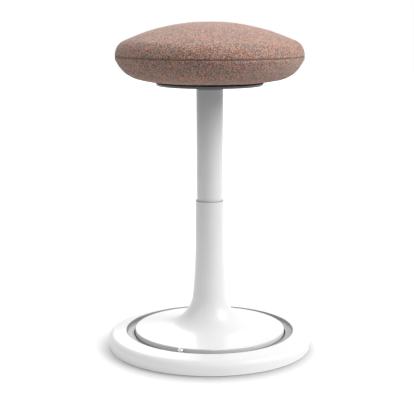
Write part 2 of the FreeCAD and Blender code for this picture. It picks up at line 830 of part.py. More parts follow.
def wiper_ring():
    outer = s.column_radius - 2 * s.running_gap
    inner = s.cover_tube_top_radius + s.free_gap
    low = s.column_top + s.seat_fit
    high = low + s.wiper_height
    turned(
        "wiper_ring",
        [
            (inner, low),
            (outer, low),
            (outer, high, 0.6 * s.edge_round),
            (inner, high, 0.3 * s.edge_round),
        ],
    )


def guide_tube():
    bore = s.guide_radius - s.guide_wall
    floor_top = s.guide_floor + s.guide_floor_thickness
    rod_hole = s.rod_radius + s.free_gap
    turned(
        "guide_tube",
        [
            (bore, s.guide_low),
            (s.guide_radius, s.guide_low),
            (s.guide_radius, s.guide_top),
            (bore, s.guide_top),
            (bore, floor_top),
            (rod_hole, floor_top),
            (rod_hole, s.guide_floor),
            (bore, s.guide_floor),
        ],
    )


def guide_bush():
    bore = s.tube_radius + s.running_gap
    outer = s.guide_radius - s.guide_wall - s.seat_fit
    collar_low = s.guide_top + s.seat_fit
    collar_top = collar_low + s.bush_collar
    turned(
        "guide_bush",
        [
            (bore, s.guide_top - s.bush_length),
            (outer, s.guide_top - s.bush_length),
            (outer, collar_low),
            (s.guide_radius, collar_low),
            (s.guide_radius, collar_top, 0.8 * s.edge_round),
            (bore, collar_top),
        ],
    )


race_low = s.guide_floor + s.guide_floor_thickness + s.seat_fit
balls_low = race_low + s.race_thickness + s.seat_fit
upper_race_low = balls_low + 2 * s.bearing_ball_radius + s.seat_fit
stop_low = upper_race_low + s.race_thickness + s.seat_fit
rod_fit = s.rod_radius + s.seat_fit


def thrust_bearing():
    ring(
        "lower_race", s.rod_radius + s.free_gap, s.race_radius,
        race_low, race_low + s.race_thickness,
    )
    balls = new_body("thrust_balls")
    ball = primitive(
        balls, "AdditiveSphere", "thrust_ball", balls_low + s.bearing_ball_radius,
        s.bearing_circle, Radius=s.bearing_ball_radius,
    )
    doc.recompute()
    around(balls, [ball], BEARING_BALLS)
    ring(
        "upper_race", rod_fit, s.race_radius,
        upper_race_low, upper_race_low + s.race_thickness,
    )
    turned(
        "bump_stop",
        [
            (rod_fit, stop_low),
            (s.bump_stop_radius, stop_low),
            (s.bump_stop_radius, stop_low + s.bump_stop_height, 1.5 * s.edge_round),
            (rod_fit, stop_low + s.bump_stop_height),
        ],
    )


# Gas spring

rod_top = s.piston_low + s.piston_height + s.rod_end
tube_top = s.taper_low + s.taper_length
tube_bore = s.tube_radius - s.tube_wall


def gas_spring_rod():
    groove_low = s.rod_low + s.clip_depth
    groove_high = s.guide_floor - s.free_gap
    groove_radius = s.rod_radius - s.clip_depth
    turned(
        "piston_rod",
        [
            (0.0, s.rod_low),
            (s.rod_radius, s.rod_low),
            (s.rod_radius, groove_low),
            (groove_radius, groove_low),
            (groove_radius, groove_high),
            (s.rod_radius, groove_high),
            (s.rod_radius, rod_top, s.edge_round),
            (0.0, rod_top),
        ],
    )
    ring(
        "rod_clip", groove_radius + s.seat_fit, s.clip_radius,
        groove_low + s.seat_fit, groove_high - s.seat_fit,
    )
    piston_radius = tube_bore - s.running_gap
    piston_top = s.piston_low + s.piston_height
    seal_low = s.piston_low + (s.piston_height - s.seal_height) / 2
    seal_top = seal_low + s.seal_height
    groove_floor = piston_radius - s.seal_depth
    turned(
        "piston",
        [
            (rod_fit, s.piston_low),
            (piston_radius, s.piston_low),
            (piston_radius, seal_low),
            (groove_floor, seal_low),
            (groove_floor, seal_top),
            (piston_radius, seal_top),
            (piston_radius, piston_top),
            (rod_fit, piston_top),
        ],
    )
    turned(
        "piston_seal",
        [
            (groove_floor + s.seat_fit, seal_low + s.seat_fit),
            (piston_radius, seal_low + s.seat_fit),
            (piston_radius, seal_top - s.seat_fit),
            (groove_floor + s.seat_fit, seal_top - s.seat_fit),
        ],
    )


def gas_spring_tube():
    turned(
        "pressure_tube",
        [
            (tube_bore, s.tube_low),
            (s.tube_radius, s.tube_low, s.edge_round),
            (s.tube_radius, s.taper_low),
            (s.tube_radius - s.taper_drop, tube_top),
            (tube_bore, tube_top),
        ],
    )
    ring(
        "rod_gland", s.rod_radius + s.running_gap, tube_bore - s.seat_fit,
        s.tube_low, s.tube_low + s.gland_height,
    )
    ring(
        "valve_body", s.valve_pin_radius + s.running_gap, tube_bore - s.seat_fit,
        s.valve_low, tube_top,
    )
    ring("valve_pin", 0.0, s.valve_pin_radius, s.valve_pin_low, s.push_cap_low)
    cap_top = s.push_cap_low + s.push_cap_height
    turned(
        "push_cap",
        [
            (0.0, s.push_cap_low),
            (s.push_cap_radius, s.push_cap_low),
            (s.push_cap_radius, cap_top, s.edge_round),
            (0.0, cap_top),
        ],
    )


def cover_tube():
    wall = s.cover_tube_wall
    turned(
        "cover_tube",
        [
            (s.cover_tube_low_radius - wall, s.cover_tube_low),
            (s.cover_tube_low_radius, s.cover_tube_low),
            (s.cover_tube_top_radius, s.cover_tube_top),
            (s.cover_tube_top_radius - wall, s.cover_tube_top),
        ],
    )
    collar = s.tube_radius + s.running_gap
    flange_low = s.cover_tube_top + s.seat_fit
    flange_top = flange_low + s.tube_cap_thickness
    plug_radius = s.cover_tube_top_radius - wall - s.running_gap
    turned(
        "tube_cap",
        [
            (collar, flange_low - s.tube_cap_plug),
            (plug_radius, flange_low - s.tube_cap_plug),
            (plug_radius, flange_low),
            (s.cover_tube_top_radius, flange_low),
            (s.cover_tube_top_radius, flange_top, 0.8 * s.edge_round),
            (collar, flange_top),
        ],
    )


# Seat bracket, rockers and release plate

bracket_top = s.bracket_low + s.bracket_thickness
rocker_low = s.push_cap_low + s.push_cap_height + s.free_gap
pivot = rocker_low + s.rocker_pivot_rise
ear_gap = s.rocker_width / 2 + s.free_gap


def taper_bore(height):
    """Radius of the hub's bore round the gas spring's taper."""
    fall = s.taper_drop * (height - s.taper_low) / s.taper_length
    return s.tube_radius - fall + s.seat_fit


def seat_bracket():
    body = turned(
        "seat_bracket",
        [
            (taper_bore(s.hub_low), s.hub_low),
            (s.hub_radius, s.hub_low, s.edge_round),
            (s.hub_radius, s.bracket_low),
            (s.bracket_radius, s.bracket_low),
            (s.bracket_radius, bracket_top, 1.5 * s.edge_round),
            (s.hub_radius, bracket_top, s.cast_round),
            (s.hub_radius, s.hub_top, s.edge_round),
            (taper_bore(s.hub_top), s.hub_top),
        ],
    )
    bracket_ears(body)
    holes(
        body, "post_holes", s.post_radius + s.post_clearance, s.post_circle, ROCKERS,
        s.bracket_low, bracket_top,
    )
    holes(
        body, "hanger_bores", s.hanger_thread, s.hanger_circle, ROCKERS,
        s.bracket_low, bracket_top, HANGER_TURN,
    )
    holes(
        body, "bracket_screw_holes", s.screw_radius + 2 * s.running_gap,
        s.bracket_screw_circle, BRACKET_SCREWS, s.bracket_low, bracket_top, BRACKET_TURN,
    )


def bracket_ears(body):
    """Pairs of ears, each with a hole for the rocker's pin."""
    near = s.rocker_pivot_circle - s.ear_half_length
    far = s.rocker_pivot_circle + s.ear_half_length
    ear_top = pivot + s.ear_half_length
    ear_low = bracket_top - s.root
    ears = []
    for side, start in (("left", ear_gap), ("right", -1.0 * ear_gap - s.ear_thickness)):
        sketch = sketch_on(body, "XZ_Plane", f"ear_{side}_side", start)
        outline(
            sketch,
            [
                (near, ear_low),
                (far, ear_low),
                (far, ear_top, s.ear_round),
                (near, ear_top, s.ear_round),
            ],
        )
        circle_in(sketch, s.rocker_pivot_circle, pivot, s.rocker_pin_radius + s.seat_fit)
        ear = body.newObject("PartDesign::Pad", f"ear_{side}")
        ear.Profile = sketch
        bind(ear, "Length", s.ear_thickness)
        ears.append(ear)
    doc.recompute()
    around(body, ears, ROCKERS)


def rocker(index):
    """One bar that is lifted at its outer end and presses the valve with its inner end."""
    name = f"release_rocker_{index + 1}"
    body = new_body(name)
    side = sketch_on(body, "XZ_Plane", f"{name}_side")
    end_top = rocker_low + s.rocker_end_height
    crown_top = pivot + s.rocker_crown
    half = s.rocker_crown_half
    outline(
        side,
        [
            (s.rocker_inner, rocker_low),
            (s.rocker_outer, rocker_low),
            (s.rocker_outer, end_top, s.rocker_end_round),
            (s.rocker_pivot_circle + half, crown_top, half),
            (s.rocker_pivot_circle - half, crown_top, half),
            (s.rocker_inner, end_top, s.rocker_end_round),
        ],
    )
    circle_in(side, s.rocker_pivot_circle, pivot, s.rocker_pin_radius + s.seat_fit)
    bar = body.newObject("PartDesign::Pad", f"{name}_bar")
    bar.Profile = side
    bind(bar, "Length", s.rocker_width)
    bar.Midplane = True
    turn = FreeCAD.Rotation(FreeCAD.Vector(0, 0, 1), 360 * index / ROCKERS)
    body.Placement = FreeCAD.Placement(FreeCAD.Vector(0, 0, 0), turn)


def rocker_pins():
    body = new_body("rocker_pins")
    half = ear_gap + s.ear_thickness + s.pin_proud
    side = sketch_on(body, "XZ_Plane", "rocker_pin_circle")
    circle_in(side, s.rocker_pivot_circle, pivot, s.rocker_pin_radius)
    pin = body.newObject("PartDesign::Pad", "rocker_pin")
    pin.Profile = side
    bind(pin, "Length", 2 * half)
    pin.Midplane = True
    doc.recompute()
    around(body, [pin], ROCKERS)


def release_plate():
    low = s.release_low
    floor_top = low + s.release_floor
    rim_top = low + s.release_rim_height
    boss_top = s.bracket_low - s.release_travel - s.free_gap
    hole = s.hub_radius + s.release_bore_gap
    rim_inner = s.release_radius - s.release_wall
    body = turned(
        "release_plate",
        [
            (hole, low),
            (s.release_radius - s.release_bevel, low, 1.5 * s.edge_round),
            (s.release_radius, rim_top - s.edge_round),
            (s.release_radius, rim_top, 0.6 * s.edge_round),
            (rim_inner, rim_top),
            (rim_inner - 2 * s.edge_round, floor_top),
            (hole, floor_top),
        ],
    )
    inside = floor_top - 0.5 * s.root
    posts(
        body, "hanger_bosses", s.hanger_boss_radius, s.hanger_circle, ROCKERS,
        inside, boss_top, HANGER_TURN,
    )
    head_top = low + s.hanger_head_height + 2 * s.running_gap
    holes(
        body, "hanger_seats", s.hanger_head_radius + s.free_gap, s.hanger_circle, ROCKERS,
        low, head_top + s.running_gap, HANGER_TURN,
    )
    holes(
        body, "hanger_holes", s.hanger_radius + s.free_gap, s.hanger_circle, ROCKERS,
        head_top - 0.5 * s.root, boss_top, HANGER_TURN,
    )
    dome_centre = rocker_low - s.free_gap - s.post_radius
    post = primitive(
        body, "AdditiveCylinder", "lift_post", inside, s.post_circle,
        Radius=s.post_radius, Height=dome_centre - inside,
    )
    dome = primitive(
        body, "AdditiveSphere", "lift_post_dome", dome_centre, s.post_circle,
        Radius=s.post_radius,
    )
    doc.recompute()
    around(body, [post, dome], ROCKERS)


def hanger_screws():
    """Shoulder screws: wide head in the plate, smooth shank, thread in the bracket."""
    body = new_body("hanger_screws")
    head_low = s.release_low + s.running_gap
    spans = (
        ("head", s.hanger_head_radius, head_low + s.hanger_head_height),
        ("shoulder", s.hanger_radius, s.bracket_low),
        ("thread", s.hanger_thread - s.seat_fit, bracket_top),
    )
    parts = [
        primitive(
            body, "AdditiveCylinder", f"hanger_{label}", head_low, s.hanger_circle,
            HANGER_TURN, Radius=radius, Height=top - head_low,
        )
        for label, radius, top in spans
    ]
    doc.recompute()
    around(body, parts, ROCKERS)


# Seat pan, foam and cover

insert_bore = s.insert_radius + s.seat_fit
pan_floor = bracket_top + s.seat_fit
pan_floor_top = pan_floor + s.pan_wall
pan_boss_top = pan_floor_top + s.insert_length - 0.5 * s.pan_wall
pan_dome_outer = s.pan_dome_radius + s.pan_wall
pan_dome_top = s.pan_dome_height + s.pan_wall
pan_depth = s.fabric + 2 * s.free_gap

# Corners of the cushion's half section, from its flat underside to the middle of its top.
cushion_start = (s.pan_step_radius + s.free_gap, s.cushion_low)
floor_corner = (s.floor_radius, s.cushion_low)
under_corner = (s.under_radius, s.under_height)
side_corner = (s.seat_radius, s.side_low)
shoulder = (s.seat_radius, s.shoulder_height)
crown = (s.crown_break, s.seat_top)
middle_top = (0.0, s.seat_top)

# How far each rounding may run. The underside's ends below the pan's rim, the side's between
# the foam's edge and the hem, the shoulder's over the seam, the crown's in the middle.
floor_length = distance(floor_corner, under_corner)
side_length = distance(under_corner, side_corner)
hem_room = s.seam_height - s.free_gap - s.hem_depth - s.side_low
floor_run = 0.28 * floor_length
under_run = smaller(0.92 * s.pan_reach * side_length, 0.7 * floor_length)
side_run = smaller(0.7 * hem_room, 0.8 * (1.0 - s.foam_reach) * side_length)
shoulder_run = s.shoulder_height - s.seam_height - s.free_gap - 1.5 * s.hem_depth
crown_run = smaller(0.98 * s.crown_break, 0.99 * (distance(shoulder, crown) - shoulder_run))

floor_bend = round_over(cushion_start, floor_corner, under_corner, floor_run)
under_bend = round_over(floor_corner, under_corner, side_corner, under_run)
side_bend = round_over(under_corner, side_corner, shoulder, side_run)
shoulder_bend = round_over(side_corner, shoulder, crown, shoulder_run)
crown_bend = round_over(shoulder, crown, middle_top, crown_run)
floor_corner += (smaller(s.floor_round, floor_bend),)
under_corner += (smaller(s.under_round, under_bend),)
side_corner += (smaller(s.side_round, side_bend),)
shoulder += (shoulder_bend,)
crown += (crown_bend,)


def side_spot(share):
    """A spot on the straight run from the underside's corner up to the side's corner."""
    return tuple(a + share * (b - a) for a, b in zip(under_corner[:2], side_corner[:2]))


def underside(start, reach, depth):
    """The cushion's underside at a depth, from a radius out to a spot on its side."""
    chain = [(start, s.cushion_low), floor_corner, under_corner, side_spot(reach)]
    return inset(chain, depth)


def seat_pan():
    step_outer = s.pan_step_radius + s.pan_wall
    round_outer = s.pan_dome_round + s.pan_wall
    outside = underside(s.pan_step_radius, s.pan_reach, pan_depth)
    inside = underside(step_outer, s.pan_reach, pan_depth + s.pan_wall)
    body = turned(
        "seat_pan",
        [
            (0.0, s.pan_dome_height),
            (s.pan_dome_radius, s.pan_dome_height, s.pan_dome_round),
            (s.pan_dome_radius, pan_floor),
            (s.pan_step_radius, pan_floor),
            *outside,
            *reversed(inside),
            (step_outer, pan_floor_top),
            (pan_dome_outer, pan_floor_top, s.cast_round),
            (pan_dome_outer, pan_dome_top, round_outer),
            (0.0, pan_dome_top),
        ],
    )
    posts(
        body, "insert_bosses", s.pan_boss_radius, s.bracket_screw_circle, BRACKET_SCREWS,
        pan_floor, pan_boss_top, BRACKET_TURN,
    )
    holes(
        body, "insert_bores", insert_bore, s.bracket_screw_circle, BRACKET_SCREWS,
        pan_floor, pan_floor + s.insert_length + 2 * s.seat_fit, BRACKET_TURN,
    )


def pan_inserts():
    body = new_body("pan_inserts")
    outside = primitive(
        body, "AdditiveCylinder", "insert_outside", pan_floor + s.seat_fit,
        s.bracket_screw_circle, BRACKET_TURN, Radius=s.insert_radius, Height=s.insert_length,
    )
    doc.recompute()
    around(body, [outside], BRACKET_SCREWS)
    holes(
        body, "insert_threads", s.screw_radius + s.seat_fit, s.bracket_screw_circle,
        BRACKET_SCREWS, pan_floor, pan_floor + s.insert_length + s.root, BRACKET_TURN,
    )


def bracket_screws():
    screws(
        "bracket_screws", s.bracket_screw_circle, BRACKET_SCREWS, s.bracket_low,
        pan_floor + s.insert_length - s.root, s.screw_radius, s.screw_head_radius,
        s.screw_head_height, BRACKET_TURN,
    )


def seat_foam():
    """One cut of foam that fills the cover over the pan, at free_gap from both."""
    gap = s.free_gap
    step_outer = s.pan_step_radius + s.pan_wall + gap
    dome_outer = pan_dome_outer + gap
    dome_top = pan_dome_top + gap
    over_pan = underside(step_outer, s.foam_reach, pan_depth + s.pan_wall + gap)
    under_cover = inset(
        [side_spot(s.foam_reach), side_corner, shoulder, crown, middle_top], s.fabric + gap
    )
    body = turned(
        "seat_foam",
        [
            (0.0, dome_top),
            (dome_outer, dome_top, s.pan_dome_round + s.pan_wall),
            (dome_outer, pan_floor_top + gap, s.cast_round),
            (step_outer, pan_floor_top + gap),
            *over_pan,
            *under_cover,
        ],
    )
    holes(
        body, "foam_boss_pockets", s.pan_boss_radius + gap, s.bracket_screw_circle,
        BRACKET_SCREWS, pan_floor_top, pan_boss_top + gap, BRACKET_TURN,
    )


def cover_top():
    hem = s.seam_height + s.free_gap
    turned(
        "cover_top",
        [
            (s.seat_radius - 0.5 * s.fabric, hem),
            (s.seat_radius, hem + s.hem_depth, s.hem_round),
            shoulder,
            crown,
            middle_top,
            *reversed(inset([(s.seat_radius, hem), shoulder, crown, middle_top], s.fabric)),
        ],
    )


def cover_bottom():
    hem = s.seam_height - s.free_gap
    lower = [cushion_start, floor_corner, under_corner, side_corner]
    turned(
        "cover_bottom",
        [
            *lower,
            (s.seat_radius, hem - s.hem_depth, s.hem_round),
            (s.seat_radius - 0.5 * s.fabric, hem),
            *reversed(inset([*lower, (s.seat_radius, hem)], s.fabric)),
        ],
    )


def cover_edge_ring():
    outer = s.pan_step_radius - s.free_gap
    ring(
        "cover_edge_ring", s.bracket_radius + s.edge_ring_gap, outer,
        s.bracket_low, pan_floor - s.seat_fit,
    )


def build():
    base_plate()
    floor_ring()
    base_ring()
    tilt_stop_ring()
    ball_stud()
    base_screws()
    rubber_spring()
    track_ball()
    ball_liner()
    foot_casting()
    socket_retainer()
    column_shell()
    wiper_ring()
    guide_tube()
    guide_bush()
    thrust_bearing()
    gas_spring_rod()
    gas_spring_tube()
    cover_tube()
    seat_bracket()
    for index in range(ROCKERS):
        rocker(index)
    rocker_pins()
    release_plate()
    hanger_screws()
    seat_pan()
    pan_inserts()
    bracket_screws()
    seat_foam()
    cover_top()
    cover_bottom()
    cover_edge_ring()
    doc.recompute()


def check():
    """Stops before anything is written if a feature or a solid is not sound."""
    for item in doc.Objects:
        if "Invalid" in item.State or "Error" in item.State:
            raise RuntimeError(f"{item.Name} did not build: {item.State}")
        if item.TypeId == "Sketcher::SketchObject" and not item.FullyConstrained:
            raise RuntimeError(f"{item.Name} is not fully constrained")
    for body in nodes:
        if body.Shape.isNull() or not body.Shape.isValid():
            raise RuntimeError(f"{body.Label} is not a sound solid")


def write():
    os.makedirs("parts", exist_ok=True)
    for body in nodes:
        body.Shape.exportStep(f"parts/{body.Label}.step")
        solids = len(body.Shape.Solids)
        print(f"{body.Label}: {solids} solid(s), {body.Shape.Volume / 1000:.2f} cm3")


build()
check()
write()
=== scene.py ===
import json
import math

import bpy
import numpy as np
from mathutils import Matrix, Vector, noise
from mathutils.bvhtree import BVHTree

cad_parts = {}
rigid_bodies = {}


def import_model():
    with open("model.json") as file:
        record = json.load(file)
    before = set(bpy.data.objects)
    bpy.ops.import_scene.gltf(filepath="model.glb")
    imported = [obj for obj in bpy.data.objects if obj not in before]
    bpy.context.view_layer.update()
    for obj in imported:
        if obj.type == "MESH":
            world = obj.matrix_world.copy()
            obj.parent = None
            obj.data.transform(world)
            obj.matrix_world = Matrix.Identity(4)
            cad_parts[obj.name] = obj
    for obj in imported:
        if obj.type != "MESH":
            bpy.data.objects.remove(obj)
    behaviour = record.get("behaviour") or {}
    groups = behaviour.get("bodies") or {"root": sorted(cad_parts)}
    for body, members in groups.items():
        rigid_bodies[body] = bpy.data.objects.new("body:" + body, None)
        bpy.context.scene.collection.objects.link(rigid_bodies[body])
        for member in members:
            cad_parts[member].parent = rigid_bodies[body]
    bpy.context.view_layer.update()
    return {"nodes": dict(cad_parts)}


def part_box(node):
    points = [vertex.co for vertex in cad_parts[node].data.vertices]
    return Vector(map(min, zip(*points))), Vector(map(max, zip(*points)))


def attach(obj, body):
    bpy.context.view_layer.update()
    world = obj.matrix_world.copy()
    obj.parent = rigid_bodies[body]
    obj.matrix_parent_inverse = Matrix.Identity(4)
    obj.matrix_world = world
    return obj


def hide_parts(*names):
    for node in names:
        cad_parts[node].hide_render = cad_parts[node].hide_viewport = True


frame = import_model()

# The stool stands on z = 0 with its column on the z axis. Lengths are in metres.

MM = 0.001
scene = bpy.context.scene
nodes = frame["nodes"]


# Camera, floor, backdrop and light

CAMERA_PLACE = (-0.0052, -2.065, 0.654)
CAMERA_TILT = 79.66
CAMERA_LENS = 93.67

FLOOR_HALF = 9.0
FLOOR_COLOUR = 0.72
BOUNCE_NEAR = 1.0
BOUNCE_FAR = 0.10
BOUNCE_REACH = (0.40, 0.75)
FLOOR_GLOW = 0.36
CONTACT_REACH = 48.0 * MM
CONTACT_LEAN = (0.0, 0.85, 0.53)
CONTACT_SHADE = 0.36
CONTACT_OPEN = (0.25, 0.95)
GLOW_NEAR = 0.45
GLOW_FAR = 1.1

KEY_PLACE = (1.75, -0.55, 1.75)
KEY_SIZE = 1.3
KEY_POWER = 33.0
FILL_PLACE = (-1.8, -0.9, 1.6)
FILL_SIZE = 1.2
FILL_POWER = 2.0
BACK_PLACE = (-0.3, 1.9, 1.15)
BACK_SIZE = 0.9
BACK_POWER = 9.0
LIGHT_AIM = (0.0, 0.0, 0.3)
SKY_POWER = 2.0
SKY_BANDS = ((0.0, 0.10), (0.35, 0.10), (0.7, 0.56), (1.0, 0.24))


def photo_camera():
    lens = bpy.data.cameras.new("photo_camera")
    lens.lens = CAMERA_LENS
    lens.sensor_width = 36.0
    camera = bpy.data.objects.new("photo_camera", lens)
    camera.location = CAMERA_PLACE
    camera.rotation_euler = (math.radians(CAMERA_TILT), 0.0, 0.0)
    scene.collection.objects.link(camera)
    scene.camera = camera


def lamp(name, place, size, power):
    """A square soft light that faces the middle of the stool."""
    light = bpy.data.lights.new(name, "AREA")
    light.shape = "SQUARE"
    light.size = size
    light.energy = power
    holder = bpy.data.objects.new(name, light)
    holder.location = place
    aim = Vector(LIGHT_AIM) - Vector(place)
    holder.rotation_euler = aim.to_track_quat("-Z", "Y").to_euler()
    scene.collection.objects.link(holder)


class Tree:
    """A node tree that is written as a chain of short calls. Each call gives an output socket."""

    def __init__(self, tree):
        self.tree = tree
        self.tree.nodes.clear()

    def node(self, kind, **settings):
        made = self.tree.nodes.new(kind)
        for key, value in settings.items():
            setattr(made, key, value)
        return made

    def put(self, socket, value):
        """Links an output to an input, or writes a plain value on the input."""
        if isinstance(value, bpy.types.NodeSocket):
            self.tree.links.new(value, socket)
        elif value is not None:
            if socket.type == "RGBA" and len(value) == 3:
                value = (*value, 1.0)
            socket.default_value = value

    def math(self, operation, first, second=None, third=None, clamp=False):
        made = self.node("ShaderNodeMath", operation=operation, use_clamp=clamp)
        for socket, value in zip(made.inputs, (first, second, third)):
            self.put(socket, value)
        return made.outputs[0]

    def vector(self, operation, first, second=None):
        made = self.node("ShaderNodeVectorMath", operation=operation)
        self.put(made.inputs[0], first)
        self.put(made.inputs[1], second)
        return made.outputs["Value" if operation in ("LENGTH", "DOT_PRODUCT") else "Vector"]

    def stretch(self, vector, scale):
        made = self.node("ShaderNodeMapping")
        self.put(made.inputs["Vector"], vector)
        self.put(made.inputs["Scale"], scale)
        return made.outputs[0]

    def noise(self, vector, scale, detail=3.0, rough=0.5, distort=0.0):
        made = self.node("ShaderNodeTexNoise")
        for key, value in (
            ("Vector", vector), ("Scale", scale), ("Detail", detail),
            ("Roughness", rough), ("Distortion", distort),
        ):
            self.put(made.inputs[key], value)
        return made.outputs[0]

    def remap(self, value, low, high, to_low=0.0, to_high=1.0, smooth=False):
        made = self.node("ShaderNodeMapRange")
        made.interpolation_type = "SMOOTHSTEP" if smooth else "LINEAR"
        for socket, number in zip(made.inputs, (value, low, high, to_low, to_high)):
            self.put(socket, number)
        return made.outputs[0]

    def ramp(self, value, stops):
        made = self.node("ShaderNodeValToRGB")
        self.put(made.inputs[0], value)
        band = made.color_ramp
        while len(band.elements) < len(stops):
            band.elements.new(0.5)
        for element, (place, colour) in zip(band.elements, stops):
            element.position = place
            element.color = (*colour, 1.0)
        return made.outputs[0]

    def mix(self, factor, first, second, blend="MIX"):
        made = self.node("ShaderNodeMix", data_type="RGBA", blend_type=blend)
        self.put(made.inputs["Factor"], factor)
        self.put(made.inputs[6], first)
        self.put(made.inputs[7], second)
        return made.outputs[2]

    def bump(self, height, distance, strength=1.0, normal=None):
        made = self.node("ShaderNodeBump")
        for key, value in (
            ("Height", height), ("Distance", distance), ("Strength", strength), ("Normal", normal),
        ):
            self.put(made.inputs[key], value)
        return made.outputs[0]

    def blend_shaders(self, factor, first, second):
        made = self.node("ShaderNodeMixShader")
        for socket, value in zip(made.inputs, (factor, first, second)):
            self.put(socket, value)
        return made.outputs[0]

    def seen(self):
        """1 for rays that show the picture's backdrop: from the camera, or through a reflection."""
        rays = self.node("ShaderNodeLightPath")
        shown = self.math("MAXIMUM", rays.outputs["Is Camera Ray"], rays.outputs["Is Glossy Ray"])
        return self.math("MAXIMUM", shown, rays.outputs["Is Transmission Ray"])


def sky():
    """White where it is seen. As a light it is a soft ceiling that is brighter overhead."""
    world = bpy.data.worlds.new("studio")
    world.use_nodes = True
    scene.world = world
    tree = Tree(world.node_tree)
    place = tree.node("ShaderNodeTexCoord").outputs["Generated"]
    parts = tree.node("ShaderNodeSeparateXYZ")
    tree.put(parts.inputs[0], place)
    dome = tree.ramp(parts.outputs["Z"], [(height, (light,) * 3) for height, light in SKY_BANDS])
    shown = tree.node("ShaderNodeBackground")
    lit = tree.node("ShaderNodeBackground")
    tree.put(lit.inputs["Strength"], SKY_POWER)
    tree.put(lit.inputs["Color"], dome)
    tree.put(shown.inputs["Color"], (1.0, 1.0, 1.0))
    end = tree.node("ShaderNodeOutputWorld")
    both = tree.blend_shaders(tree.seen(), lit.outputs[0], shown.outputs[0])
    tree.put(end.inputs[0], both)


def floor():
    """A plain pale floor. It shows the stool's cast shadow and a painted shadow close to it, glows
    white away from it, and bounces only a little light back up."""
    mesh = bpy.data.meshes.new("studio_floor")
    signs = ((-1, -1), (1, -1), (1, 1), (-1, 1))
    corners = [(x * FLOOR_HALF, y * FLOOR_HALF, 0.0) for x, y in signs]
    mesh.from_pydata(corners, [], [(0, 1, 2, 3)])
    plane = bpy.data.objects.new("studio_floor", mesh)
    scene.collection.objects.link(plane)
    mesh.materials.append(floor_material())


def floor_material():
    """Close to the stool the floor has a painted shadow, darkest in front of the base: its colour
    and glow are darkened by what stands in the way, counted with a lean to the back as a stand-in
    for shade from light behind."""
    material = bpy.data.materials.new("studio_floor")
    material.use_nodes = True
    tree = Tree(material.node_tree)
    place = tree.node("ShaderNodeTexCoord").outputs["Object"]
    away = tree.vector("LENGTH", place)
    glow_share = tree.remap(away, GLOW_NEAR, GLOW_FAR, FLOOR_GLOW, 1.0, smooth=True)
    bounce = tree.remap(away, *BOUNCE_REACH, BOUNCE_NEAR, BOUNCE_FAR, smooth=True)
    near = tree.node("ShaderNodeAmbientOcclusion", samples=8)
    tree.put(near.inputs["Distance"], CONTACT_REACH)
    lean = tree.vector("NORMALIZE", CONTACT_LEAN)
    tree.put(near.inputs["Normal"], lean)
    # Painted shadow: the occlusion count darkens the floor's colour and glow near the stool.
    painted_contact_shadow = tree.remap(near.outputs["AO"], *CONTACT_OPEN, CONTACT_SHADE, 1.0)
    dull = tree.node("ShaderNodeBsdfDiffuse")
    tree.put(dull.inputs["Color"], bounce)
    pale = tree.node("ShaderNodeBsdfDiffuse")
    tree.put(pale.inputs["Color"], tree.math("MULTIPLY", painted_contact_shadow, FLOOR_COLOUR))
    glow = tree.node("ShaderNodeEmission")
    tree.put(glow.inputs["Strength"], tree.math("MULTIPLY", painted_contact_shadow, glow_share))
    lit = tree.node("ShaderNodeAddShader")
    tree.put(lit.inputs[0], pale.outputs[0])
    tree.put(lit.inputs[1], glow.outputs[0])
    end = tree.node("ShaderNodeOutputMaterial")
    tree.put(end.inputs[0], tree.blend_shaders(tree.seen(), dull.outputs[0], lit.outputs[0]))
    return material


# Materials


class Finish(Tree):
    """A surface: a Principled shader with plain values on its own sockets."""

    def __init__(self, name, colour=(0.8, 0.8, 0.8), **values):
        self.material = bpy.data.materials.new(name)
        self.material.use_nodes = True
        super().__init__(self.material.node_tree)
        self.shader = self.node("ShaderNodeBsdfPrincipled")
        self.put(self.shader.inputs["Base Color"], colour)
        for key, value in values.items():
            self.put(self.shader.inputs[key.replace("_", " ")], value)
        end = self.node("ShaderNodeOutputMaterial")
        self.tree.links.new(self.shader.outputs[0], end.inputs[0])
        self.place = self.node("ShaderNodeTexCoord").outputs["Object"]

    def set(self, key, value):
        self.put(self.shader.inputs[key], value)


SHADE_CHANGE = 0.996


def moulded(name, colour, rough, grain, depth, spread=0.025, **values):
    """Moulded or coated surface: fine grain, a little unevenness of gloss and shade."""
    skin = Finish(name, colour, **values)
    cloud = skin.noise(skin.place, 14.0, 3.0, 0.55)
    fine = skin.noise(skin.place, 1.0 / grain, 2.0, 0.6)
    skin.set("Roughness", skin.remap(cloud, 0.3, 0.7, rough - spread, rough + spread))
    darker = tuple(SHADE_CHANGE * c for c in colour)
    skin.set("Base Color", skin.mix(skin.remap(cloud, 0.25, 0.75), darker, colour))
    skin.set("Normal", skin.bump(fine, depth))
    return skin


CHANNEL_INNER = 148.5 * MM
CHANNEL_OUTER = 165.2 * MM
CHANNEL_TOP = 34.8 * MM
# Grey of the ring's channel: partly its own tone, partly painted shade for the recess.
CHANNEL_TONE_AND_PAINTED_SHADE = (0.33, 0.33, 0.335)
CHANNEL_EDGE = 0.5 * MM


